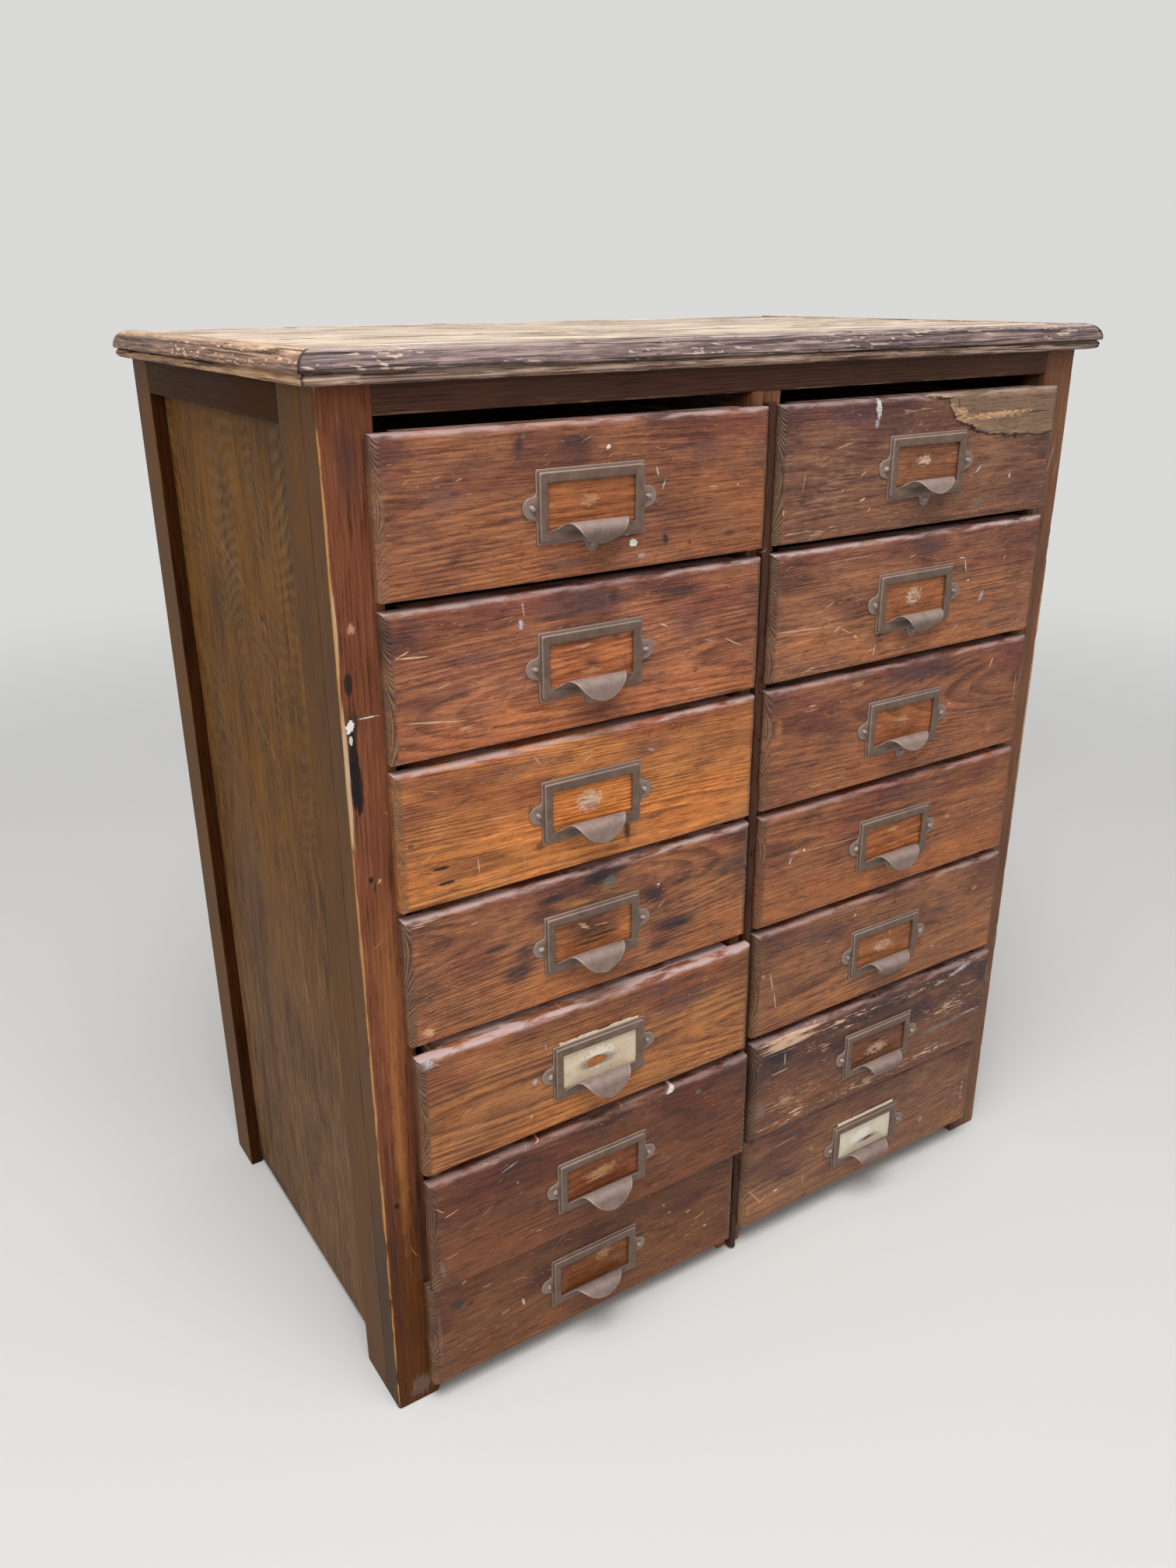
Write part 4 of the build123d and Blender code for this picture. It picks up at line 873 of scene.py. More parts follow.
def addSockets(pile, node, cutAt, centre):
    # the back of the front, with the sockets of its dovetails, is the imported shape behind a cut
    work = bmesh.new()
    work.from_mesh(node.data)
    bmesh.ops.remove_doubles(work, verts=work.verts, dist=0.00001)
    everything = work.verts[:] + work.edges[:] + work.faces[:]
    cut = bmesh.ops.bisect_plane(work, geom=everything, plane_co=(0, cutAt, 0), plane_no=(0, 1, 0), clear_inner=True)
    rim = [item for item in cut["geom_cut"] if isinstance(item, bmesh.types.BMEdge)]
    bmesh.ops.contextual_create(work, geom=rim)
    bmesh.ops.recalc_face_normals(work, faces=work.faces)
    work.verts.index_update()
    points = np.array([vert.co[:] for vert in work.verts])
    faces = [[vert.index for vert in face.verts] for face in work.faces]
    work.free()
    addToPile(pile, points, faces, points - centre, 0.2)


pullSizes = {
    "frameWidth": 88.0, "frameHeight": 48.6, "windowWidth": 74.0, "windowHeight": 33.0,
    "flangeMargin": 1.8, "flangeThick": 1.2, "flangeCorner": 1.2, "earRadius": 7.6, "earOut": 49.2, "earFillet": 3.6,
    "lowEarRadius": 6.0, "lowEarDown": 28.8, "lowEarFillet": 3.0,
    "slotHalfWidth": 40.2, "slotHalfHeight": 20.2,
    "rise": 2.5, "riseAngle": 57.0, "curl": 7.0, "sheet": 1.3, "rootDeep": 2.0, "tongueHalf": 28.3, "tongueBack": 12.3,
    "flare": 8, "flareReach": 2.5, "wave": 0.35, "flangeEdge": 0.35,
    "bends": {"even": (134, 11), "curled": (182, 6), "short": (126, 7)},
}
# loops of the frame: inset, height out, and how rubbed each is, which also paints a highlight on the outer arrises
frameProfile = [(0, 0, 0.2), (0, 2.2, 0.6), (0.35, 2.85, 1.0), (1.1, 3.35, 0.8), (1.5, 3.4, 0.3), (5.7, 3.35, 0.2),
                (6.5, 3.15, 0.5), (7, 2.6, 0.3), (7, 1.25, 0.0), (4, 1.2, 0.0), (4, 0, 0.0)]
pullBends = {"L1": "curled", "L2": "even", "L3": "even", "L4": "even", "L5": "even", "L6": "even", "L7": "short",
             "R1": "short", "R2": "curled", "R3": "short", "R4": "even", "R5": "curled", "R6": "curled",
             "R7": "curled"}


def roundedLoop(halfX, halfZ, radius, bits=3):
    loop = []
    for signX, signZ, start in ((1, 1, 0), (-1, 1, 90), (-1, -1, 180), (1, -1, 270)):
        for n in range(bits + 1):
            turn = math.radians(start + 90 * n / bits)
            loop.append((signX * (halfX - radius) + radius * math.cos(turn),
                         signZ * (halfZ - radius) + radius * math.sin(turn)))
    return np.array(loop)


def addFrameRing(pile):
    sizes = pullSizes
    halfX, halfZ = sizes["frameWidth"] / 2, sizes["frameHeight"] / 2
    ratio = (sizes["frameHeight"] - sizes["windowHeight"]) / (sizes["frameWidth"] - sizes["windowWidth"])
    rings, rub = [], []
    for inset, out, rubAndHighlight in frameProfile:
        loop = roundedLoop(halfX - inset, halfZ - inset * ratio, 1.6 if inset < 2 else 0.6)
        rings.append(np.column_stack([loop[:, 0], np.full(len(loop), out), loop[:, 1]]))
        rub += [rubAndHighlight] * len(loop)
    count = len(rings[0])
    faces = sum([bandFaces(i * count, (i + 1) % len(rings) * count, count) for i in range(len(rings))], [])
    points = np.concatenate(rings)
    addToPile(pile, points, faces, points, rub)


def flangeOutline():
    sizes = pullSizes
    sideX = sizes["frameWidth"] / 2 + sizes["flangeMargin"]
    footZ = sizes["frameHeight"] / 2 + sizes["flangeMargin"]

    def ear(centreOff, radius, line, fillet):
        # half of an ear that stands on a line: (out, along) from the fillet's start to the tip
        offset = line + fillet - centreOff
        along = math.sqrt((radius + fillet) ** 2 - offset ** 2)
        lean = math.atan2(along, offset)
        arc = [(line + fillet - fillet * math.cos(t), along - fillet * math.sin(t))
               for t in np.linspace(0, lean, 6)]
        head = [(centreOff + radius * math.cos(t), radius * math.sin(t)) for t in np.linspace(lean, 0, 9)[1:]]
        return arc + head

    side = ear(sizes["earOut"], sizes["earRadius"], sideX, sizes["earFillet"])
    low = ear(sizes["lowEarDown"], sizes["lowEarRadius"], footZ, sizes["lowEarFillet"])
    right = [(out, along) for out, along in side] + [(out, -along) for out, along in side[-2::-1]]
    bottom = [(along, -out) for out, along in low] + [(-along, -out) for out, along in low[-2::-1]]
    left = [(-out, -along) for out, along in side] + [(-out, along) for out, along in side[-2::-1]]
    corner = sizes["flangeCorner"]
    insets = [(corner, 0), (corner * 0.3, corner * 0.3), (0, corner)]

    def turnCorner(signX, signZ, insets):
        return [(signX * (sideX - inX), signZ * (footZ - inZ)) for inX, inZ in insets]

    outline = [*turnCorner(1, 1, insets)[1:], *right, *turnCorner(1, -1, insets[::-1]), *bottom,
               *turnCorner(-1, -1, insets), *left, *turnCorner(-1, 1, insets[::-1]), (sideX - corner, footZ)]
    return np.array(outline)[::-1]  # turned to run round as the frame's loops do


def flatFaces(loops):  # fills the space between flat loops with triangles that turn left
    flat = np.concatenate(loops)
    faces = []
    for a, b, c in tessellate_polygon([[Vector((*point, 0)) for point in loop] for loop in loops]):
        turnsLeft = np.cross(flat[b] - flat[a], flat[c] - flat[a]) > 0
        faces.append([a, b, c] if turnsLeft else [c, b, a])
    return faces


def addFlange(pile):
    sizes = pullSizes
    outline = flangeOutline()
    tangent = np.roll(outline, -1, 0) - np.roll(outline, 1, 0)
    tangent /= np.linalg.norm(tangent, axis=1)[:, None]
    inward = np.column_stack([-tangent[:, 1], tangent[:, 0]])
    hole = roundedLoop(sizes["slotHalfWidth"], sizes["slotHalfHeight"], 0.6)
    top, edge = sizes["flangeThick"], sizes["flangeEdge"]
    # the flange's rim is rubbed and painted with a highlight line
    steps = [(0, 0, 0.2), (0, top - edge, 0.9), (edge, top, 1.0)]
    rings = [np.column_stack([(outline + inward * inset)[:, 0], np.full(len(outline), out),
                              (outline + inward * inset)[:, 1]]) for inset, out, _ in steps]
    rings += [np.column_stack([hole[:, 0], np.full(len(hole), out), hole[:, 1]]) for out in (top, 0)]
    rub = np.concatenate([np.full(len(outline), rubAndHighlight) for _, _, rubAndHighlight in steps] + [np.zeros(2 * len(hole))])
    count, holeCount = len(outline), len(hole)
    points = np.concatenate(rings)
    holeTop, holeFoot = 3 * count, 3 * count + holeCount
    faces = bandFaces(0, count, count) + bandFaces(count, 2 * count, count) + bandFaces(holeTop, holeFoot, holeCount)
    for outer, inner, up in ((2 * count, holeTop, True), (0, holeFoot, False)):
        ids = [*range(outer, outer + count), *range(inner, inner + holeCount)]
        flat = points[ids][:, [0, 2]]
        for corners in flatFaces([flat[:count], flat[count:]]):
            faces.append([ids[corner] for corner in (corners if up else corners[::-1])])
    addToPile(pile, points, faces, points, rub)


def addTongue(pile, bend, number):
    sizes = pullSizes
    turn, tail = sizes["bends"][bend]
    rise, curl = sizes["rise"], sizes["curl"]
    lean = math.radians(sizes["riseAngle"])
    length = rise + curl * math.radians(turn) + tail
    early = [-sizes["rootDeep"], 0, 0.4, 0.9, 1.5, 2.2, 3.0, 4.0, 5.2]
    back = sizes["tongueBack"]  # the outline is half an ellipse whose middle lies this far behind the root
    start = math.asin((6.6 + back) / (length + back))
    late = -back + (length + back) * np.sin(np.linspace(start, math.pi / 2, 17))
    runs = np.concatenate([early, late])
    across = np.sin(np.radians(np.linspace(-90, 90, 27)))
    rings, rub = [], []
    for run in runs:
        s = max(run, 0.0)
        half = sizes["tongueHalf"] * math.sqrt(max(0.0, 1 - ((s + back) / (length + back)) ** 2))
        half += sizes["flare"] * math.exp(-s / sizes["flareReach"])  # flared into the frame at the root
        if run < rise:
            slope, out, up = lean, run * math.cos(lean), run * math.sin(lean)
        else:
            slope = lean - min(run - rise, curl * math.radians(turn)) / curl
            out = rise * math.cos(lean) + curl * (math.sin(lean) - math.sin(slope))
            up = rise * math.sin(lean) + curl * (math.cos(slope) - math.cos(lean))
            beyond = max(0.0, run - rise - curl * math.radians(turn))
            out, up = out + beyond * math.cos(slope), up + beyond * math.sin(slope)
        wave = sizes["wave"] * (planeNoise(run / 9, across * 1.6 + 3, 700 + number) - 0.5) * min(1, s / 6)
        thick = sizes["sheet"] / 2 * (1 - 0.6 * np.abs(across) ** 12)
        for side in (1, -1):
            off = (side * thick + wave)[::side]
            x = (across * half)[::side]
            rings.append(np.column_stack([x, out - off * math.sin(slope) + frameProfile[4][1],
                                          up + off * math.cos(slope) - sizes["windowHeight"] / 2]))
        # the tongue's sides and tip are rubbed and painted with a highlight
        rubAndHighlight = 0.45 + 0.55 * np.abs(across) ** 6 + 0.3 * (s / length) ** 3
        rub += list(np.clip(rubAndHighlight, 0, 1)) + list(np.clip(rubAndHighlight, 0, 1) * 0.6)
    count = 2 * len(across)
    points = np.concatenate(rings)
    faces = [face[::-1] for face in tubeFaces(len(runs), count)]
    addToPile(pile, points, faces, points, rub)


pullFinish = {
    "dark": (0.075, 0.047, 0.034), "mid": (0.14, 0.088, 0.064), "light": (0.23, 0.15, 0.115),
    "tongue": (0.27, 0.2, 0.175), "rubbed": (0.36, 0.27, 0.23), "rust": (0.12, 0.05, 0.026), "metallic": 0.12,
    "roughness": 0.5, "specular": 0.3,
}


def makePullMaterial(name, finish):
    material, tree, shader = newMaterial(name)
    local, edge = readPiece(tree)
    coarse = noiseOn(local, 110.0, 3.0, 0.6)
    fine = noiseOn(local, 900.0, 3.0, 0.7)
    tone = 0.5 + swing(coarse, 1.3) + swing(fine, 1.5)
    colour = mixColour(ease(tone, 0.0, 0.5), finish["dark"], finish["mid"])
    colour = mixColour(ease(tone, 0.5, 1.1), colour, finish["light"])
    # paler, speckled skin on the tongue, dull where it bends down
    up = readNormal(tree)[2]
    onTongue = ease(splitVector(local)[1], 0.0037, 0.0052)
    speckled = ease(tone, -0.2, 0.8, 0.3, 1.0) * (onTongue * ease(up, -0.1, 0.75, 0.3, 1.0))
    colour = mixColour(speckled, colour, finish["tongue"])
    rust = ease(noiseOn(local, 160.0, 4.0, 0.65, (1, 1, 1), (4, 9, 2)), 0.58, 0.75)
    colour = mixColour(rust * 0.4, colour, finish["rust"])
    # arrises rubbed to metal and partly a painted highlight, most where they look up
    worn = ease(edge, 0.72, 1.0) * ease(up, -0.5, 0.6, 0.15, 0.75)
    colour = mixColour(worn, colour, finish["rubbed"])
    plug(shader.inputs["Metallic"], finish["metallic"])
    rough = ease(fine, 0.2, 0.8, finish["roughness"] - 0.08, finish["roughness"] + 0.12)
    dressShader(shader, colour, rough, fine + coarse, 0.35, 0.0003, finish["specular"])
    return material


pullIron = makePullMaterial("pullIron", pullFinish)
screwIron = makePullMaterial("screwIron", {**pullFinish, "dark": (0.13, 0.09, 0.075), "mid": (0.3, 0.23, 0.2),
                                           "light": (0.46, 0.38, 0.34)})


def makePull(name, number):
    lo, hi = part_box(f"drawer_{name}_front")
    pile = newPile()
    addFrameRing(pile)
    addFlange(pile)
    addTongue(pile, pullBends[name], number)
    middle = np.array([(lo.x + hi.x) / 2, lo.y, hi.z - frontSizes["pullBelowTop"] * mm])
    pile["points"] = [points * np.array([mm, -mm, mm]) + middle for points in pile["points"]]
    pile["board"] = [points * mm + np.array([number * 0.31, 0, number * 0.17]) for points in pile["board"]]
    piece = pieceFrom(pile, "pull_" + name, 42, weld=0.00001)
    piece.data.materials.append(pullIron)
    return piece


screwSizes = {"Head Radius": 2.75 * mm, "Head Height": 1.9 * mm, "Slot Width": 0.6 * mm, "Slot Depth": 0.8 * mm}
screwSpots = [(-pullSizes["earOut"], 0), (pullSizes["earOut"], 0), (0, -pullSizes["lowEarDown"])]
screwLean = 0.08  # a screw stands off square by up to this angle


def makeScrewTree():
    tree, given, out = newGroup("screwSetter", {"Geometry": None, **screwSizes, "Seed": 0}, {"Geometry": None},
                                "GeometryNodeTree")
    ball = addNode(tree, "GeometryNodeMeshUVSphere", {"Segments": 28, "Rings": 14, "Radius": 1.0})
    headSize = joinVector(given["Head Radius"], given["Head Height"], given["Head Radius"])
    domed = grow("GeometryNodeTransform", {"Geometry": ball.outputs["Mesh"], "Rotation": (math.pi / 2, 0, 0),
                                           "Scale": headSize})
    slotSize = joinVector(given["Head Radius"] * 3.0, given["Slot Depth"] * 2.0, given["Slot Width"])
    slotBar = grow("GeometryNodeMeshCube", {"Size": slotSize})
    slotPlace = joinVector(0.0, given["Head Height"] * -1.0)
    placedBar = grow("GeometryNodeTransform", {"Geometry": slotBar.outputs["Mesh"], "Translation": slotPlace})
    head = grow("GeometryNodeMeshBoolean", {"Mesh 1": domed.outputs[0], "Mesh 2": placedBar.outputs[0]},
                operation="DIFFERENCE")
    turn = grow("FunctionNodeRandomValue",
                {0: (-screwLean, 0, -screwLean), 1: (screwLean, math.pi, screwLean), "Seed": given["Seed"]},
                data_type="FLOAT_VECTOR")
    spread = grow("GeometryNodeInstanceOnPoints", {"Points": given["Geometry"], "Instance": head.outputs["Mesh"],
                                                   "Rotation": turn.outputs[0]})
    real = grow("GeometryNodeRealizeInstances", {"Geometry": spread.outputs[0]})
    finish = grow("GeometryNodeSetMaterial", {"Geometry": real.outputs[0], "Material": screwIron})
    plug(out["Geometry"], finish.outputs[0])
    return tree


screwTree = makeScrewTree()


def makeScrews(name, number):
    lo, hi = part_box(f"drawer_{name}_front")
    centreX, centreZ = (lo.x + hi.x) / 2, hi.z - frontSizes["pullBelowTop"] * mm
    seat = lo.y - pullSizes["flangeThick"] * mm
    spots = bpy.data.meshes.new("screwSpots_" + name)
    spots.from_pydata([(centreX + x * mm, seat, centreZ + z * mm) for x, z in screwSpots], [], [])
    carrier = newObject("screwSpots_" + name, spots)
    setter = carrier.modifiers.new("screwSetter", "NODES")
    setter.node_group = screwTree
    for item in screwTree.interface.items_tree:
        if item.in_out == "INPUT" and item.name != "Geometry":
            setter[item.identifier] = {**screwSizes, "Seed": number}[item.name]
    bpy.context.view_layer.update()
    ready = carrier.evaluated_get(bpy.context.evaluated_depsgraph_get())
    mesh = bpy.data.meshes.new_from_object(ready)
    mesh.name = "screws_" + name
    bpy.data.objects.remove(carrier)
    shade(mesh, 40)
    places = np.array([vert.co[:] for vert in mesh.vertices])
    writeAttribute(mesh, "board", places)
    writeAttribute(mesh, "edge", 0.75 * np.clip((seat - places[:, 1]) / screwSizes["Head Height"], 0, 1))
    return newObject("screws_" + name, mesh)


def setRole(piece, node, body="case"):
    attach(piece, body)
    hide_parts(node)


for number, name in enumerate(drawerNames, 1):
    body = "drawer_" + name
    setRole(makeFront(name, number), body + "_front", body)
    pull, screws = makePull(name, number), makeScrews(name, number)
    for piece in (pull, screws):
        setRole(piece, body + "_pull", body)
print("drawer fronts, pulls and screws made:", len(drawerNames))


# finishes of the case's woods; marks lie along and across the grain from the middle of the board
woodLooks = looksFrom(("mid", "pith", "drift", "ring", "rings", "worn", "rub", "cuts", "checks"), {
    "stileLeft": ((0.165, 0.054, 0.025), (0.03, 0.06), (0.006, 0.01), 0.0018, 0.3, (0.45, 0.215, 0.085), 0.9, 0.3,
                  0.06, {"foot": (0.52, 0.46, 0.16), "side": (0.66, 0.82, 0.4), "seam": 0.0104, "shine": 0.1}),
    "stileRight": ((0.155, 0.066, 0.033), (-0.03, 0.06), (0.006, 0.0), 0.0026, 0.35, (0.42, 0.25, 0.15), 0.7, 0.3,
                   0.1, {"seam": 0.0104}),
    # the rail's dark tone is partly its own dark wood and partly painted shade under the top's overhang
    "rail": ((0.068, 0.028, 0.016), (0.02, 0.05), (0.01, 0.0), 0.0024, 0.5, (0.34, 0.2, 0.11), 0.5, 0.15, 0.2),
    "post": ((0.2, 0.08, 0.036), (0.01, 0.07), (0.01, 0.0), 0.0026, 0.5, (0.4, 0.2, 0.09), 0.5, 0.2, 0.2),
    # the strip's dark tone is partly painted shade
    "strip": ((0.052, 0.02, 0.011), (0.01, 0.03), (0.0, 0.0), 0.003, 0.5, (0.4, 0.2, 0.1), 0.55, 0.5, 0.3),
    "sideFrame": ((0.118, 0.05, 0.013), (0.05, 0.04), (0.008, 0.0), 0.002, 0.35, (0.3, 0.17, 0.09), 0.35, 0.15, 0.15,
                  {"shine": 0.06, "cheek": (0.3, 0.2, 0.15)}),
    # the side rail's dark tone is partly grime and partly painted shade under the top's overhang
    "sideRail": ((0.042, 0.013, 0.0005), (0.05, 0.04), (0.008, 0.0), 0.002, 0.35, (0.2, 0.12, 0.06), 0.3, 0.15, 0.15,
                 {"shine": 0.03}),
    "plank": ((0.49, 0.39, 0.3), (0.02, -0.03), (0.01, 0.01), 0.0045, 0.45, (0.6, 0.48, 0.38), 0.6, 0.2, 0.8,
              {"dark": (0.19, 0.135, 0.1), "light": (0.74, 0.62, 0.5), "fibre": 1.15, "blotch": 2.0, "rough": 0.8,
               "bump": 0.0012}),
    "panel": ((0.146, 0.062, 0.014), (0.012, 0.03), (0.02, 0.03), 0.007, 0.35, (0.3, 0.2, 0.12), 0.0, 0.35, 0.0,
              {"shine": 0.06, "blotch": 2.0, "wander": 0.03, "rough": 0.6, "fibre": 2.1, "low": (1.05, 1.24, 2.5),
               "curl": (0.2, 0.13, 0.07)}),
    "back": ((0.33, 0.215, 0.125), (0.01, 0.05), (0.01, 0.0), 0.004, 0.7, (0.5, 0.36, 0.24), 0.0, 0.1, 0.35,
             {"boards": 7, "rough": 0.75}),
    "inside": ((0.31, 0.205, 0.12), (0.02, 0.05), (0.01, 0.0), 0.0035, 0.6, (0.5, 0.36, 0.24), 0.0, 0.1, 0.2,
               {"rough": 0.7}),
    "box": ((0.43, 0.295, 0.17), (0.01, 0.06), (0.008, 0.004), 0.0035, 0.6, (0.5, 0.36, 0.24), 0.0, 0.15, 0.15,
            {"rough": 0.65}),
})
boardMarks = {
    "stileLeft": [
        ("stain", (-9, 5, 26, 2.4, 0.3)), ("black", (233, -11.8, 10, 3.4, 0.85)), ("pale", (270, -6.5, 5, 3.4, 0.55)),
        ("black", (172, -12, 46, 4.2, 0.95), (158, -11.5, 24, 5.4, 0.9)), ("stain", (205, -9, 12, 4, 0.6)),
        ("paint", (202.6, -13, 6, 3.2, 1.0, 20), (207, 1, 0.6, 8, 0.8), (193, -13, 4, 1.4, 0.8)),
        ("worn", (160, -17.6, 66, 2.0, 1.0), (270, -17.8, 36, 1.6, 0.9)), ("black", (84.5, -6.6, 3, 2.2, 0.9),
         (78, -4, 5, 1.2, 0.7, 10), (-209, -6.9, 3.4, 2.6, 0.9)), ("pale", (82, 0, 3, 1.6, 0.7, 40)),
        ("stain", (-250, 13, 160, 4, 0.6), (-250, -12, 160, 4, 0.4)), ("orange", (-150, 0, 130, 7, 0.45),
         (-20, 1, 120, 13, 0.24)), ("grey", (-408, 4, 14, 14, 0.4)), ("stain", (380, 0, 40, 16, 0.5))],
    "stileRight": [
        ("pale", (280, -10, 40, 0.7, 0.6, 6)), ("haze", (330, 4, 22, 0.8, 0.6, 12)),
        ("pale", (80, 17, 160, 1.2, 0.6)), ("stain", (120, -12, 80, 4, 0.5)), ("pale", (-120, -16, 120, 1.4, 0.5))],
    "panel": [
        ("black", (663.5, 182.6, 4, 3, 0.8, 20)), ("pale", (655, 176, 7, 0.8, 0.5, 30)),
        ("stroke", (700, 250, 60, 0.7, 0.35, 62), (560, 210, 70, 0.6, 0.3, 58), (330, 170, 16, 0.8, 0.45, 10)),
        ("smear", (400, 300, 160, 50, 0.35))],
}


def woodVector(tree, kind):
    # the board's own attribute, or object coordinates turned so that X runs along the grain
    if kind == "attribute":
        return attributeOf(tree, "board", "Vector")
    place = readPlace(tree)
    x, y, z = splitVector(place)
    if kind == "upright":
        return joinVector(z, y, x)
    if kind == "deep":
        return joinVector(y, x, z)
    if kind == "box":  # sides run front to back, the other boards run across
        isSide = calc("GREATER_THAN", abs(abs(x) - 0.1705), 0.1335)
        return Wire(grow("ShaderNodeMix", {0: isSide, 4: place, 5: joinVector(y, x, z)},
                         data_type="VECTOR").outputs[1])
    return place


woodTones = {"otherBoard": (0.68, 0.66, 0.64), "joint": (0.16, 0.13, 0.11), "seam": (0.02, 0.01, 0.008)}


def makeWoodMaterial(name, look, kind="attribute", marks=(), seed=0.0):
    material, tree, shader = newMaterial(name)
    vector = woodVector(tree, kind)
    edge = attributeOf(tree, "edge") if kind == "attribute" else 0.0
    mid = np.array(look["mid"])
    if "boards" in look:  # each board has a grain and a tone of its own
        lo, hi = (corner * mm for corner in boxOf("back_boards"))
        place = (splitVector(vector)[2] - lo[0]) * (look["boards"] / (hi[0] - lo[0]))
        turn = calc("FLOOR", place)
        vector = vector + joinVector(turn * 0.83, 0.0, turn * 0.37)
        joint = calc("PINGPONG", place, 0.5)
    along, wide, thick = splitVector(vector)
    wood = useGroup(agedWood, Vector=vector, Dark=look.get("dark", tuple(mid * (0.45, 0.42, 0.42))), Mid=tuple(mid),
                    Light=look.get("light", tuple(mid * (1.5, 1.6, 1.65))), Pith=(0, *look["pith"]),
                    Drift=(0, *look["drift"]), Ring_Width=look["ring"], Ring_Depth=look["rings"],
                    Fibre_Depth=look.get("fibre", 1.1), Blotch=look.get("blotch", 1.2),
                    Wander=look.get("wander", 0.012), Seed=seed)
    colour = wood["Color"]
    if "boards" in look:
        colour = tint(calc("FRACT", turn * 0.618), colour, woodTones["otherBoard"])
        colour = tint(ease(joint, 0.014, 0.006), colour, woodTones["joint"])
    if "foot" in look:  # lower part, where floors are washed
        colour = tint(ease(along, -0.1, -0.33), colour, look["foot"])
    if "low" in look:
        colour = tint(ease(along, 0.55, 0.2), colour, look["low"])
    plane = joinVector(along, wide)
    if marks and kind == "attribute":  # marks stay on the face that looks forward
        plane = joinVector(along, wide, (thick + 0.012) * 700.0)
        plane = calc("MAXIMUM", plane, (-10, -10, 0))
    colour = placeMarks(colour, plane, marks)
    split = useGroup(checks, Vector=vector, Share=look["checks"], Seed=seed + 3.0)["Mask"]
    colour = mixColour(split * 0.75, colour, tuple(mid * 0.14))
    if look["cuts"]:
        cuts = scratchMask("board", plane, look["cuts"] * 0.6, seed * 11.0)
        colour = mixColour(cuts * 0.6, colour, look["worn"])
    if look["rub"]:
        bare = useGroup(rubbed, Vector=vector, Edge=edge, Reach=0.36, Grain=(26, 260, 260))["Mask"]
        colour = mixColour(bare * look["rub"], colour, look["worn"])
    normal = readNormal(tree)
    if "side" in look:  # the face that looks sideways is browner and darker
        colour = tint(ease(abs(normal[0]), 0.75, 0.95), colour, look["side"])
    if "seam" in look:  # dirt in the joint behind a face stile
        dirt = ease(thick, look["seam"], look["seam"] + 0.0008, 0.0, 0.9)
        colour = mixColour(dirt, colour, woodTones["seam"])
    if "cheek" in look:  # dark stain on the edges that look forward or back
        colour = tint(ease(normal[1], -0.6, -0.9), colour, look["cheek"])
    if "curl" in look:  # silvery waves across the grain of the plywood
        bent = swing(noiseOn(vector, 1.0, 2.0, 0.5, (5, 16, 16), (seed, 0, 0)), 9.0)
        waves = ease(calc("PINGPONG", along * 75.0 + bent, 0.5), 0.1, 0.42)
        where = ease(noiseOn(vector, 1.0, 4.0, 0.6, (9, 30, 30), (0, seed, 0)), 0.36, 0.66)
        where = where * ease(along, 0.3, 0.75, 0.06, 0.45)
        colour = mixColour(waves * where, colour, look["curl"])
    rough = look.get("rough", 0.52)
    dressShader(shader, colour, ease(wood["Tone"], 0.0, 1.0, rough - 0.08, rough + 0.1), wood["Height"] - split * 1.5,
                0.5, look.get("bump", 0.0006), look.get("shine", 0.15))
    return material


def finishPiece(pile, name, node, slotName, *materials, body="case"):
    piece = pieceFrom(pile, name)
    for material in materials:
        piece.data.materials.append(material)
    setRole(piece, node, body)
    return piece


caseSizes = {
    "stileRound": 1.6, "frontSideStile": 42.0, "backSideStile": 44.0, "sideRail": 28.0, "frameThick": 22.0,
    "panelRecess": 12.0, "panelThick": 5.0, "panelGroove": 8.0, "battenFoot": 46.0, "batten": 18.0,
    "rebateWide": 11.0, "rebateDeep": 12.0, "rebateFoot": 40.0, "tenon": 16.0, "tenonThick": 8.0, "tenonShoulder": 4.0,
    "postTenon": 10.0, "postTenonShoulder": 4.0, "nose": 3.5,
}


def makeStiles():
    for side, name in ((-1, "left"), (1, "right")):
        lo, hi = boxOf("face_stile_" + name)
        soft, outer = (caseSizes["stileRound"] * 0.5, 0.5), (caseSizes["stileRound"], 1.1)
        corners = (outer, soft, soft, soft) if side < 0 else (soft, outer, soft, soft)
        pile = newPile()
        addBoard(pile, lo, hi, 2, 900 + side, corners, step=5.0)
        look = "stile" + name.capitalize()
        material = makeWoodMaterial("stainedStile_" + name, woodLooks[look], marks=boardMarks[look], seed=41.0 + side)
        finishPiece(pile, "stile_" + name, "face_stile_" + name, "stained_wood", material)


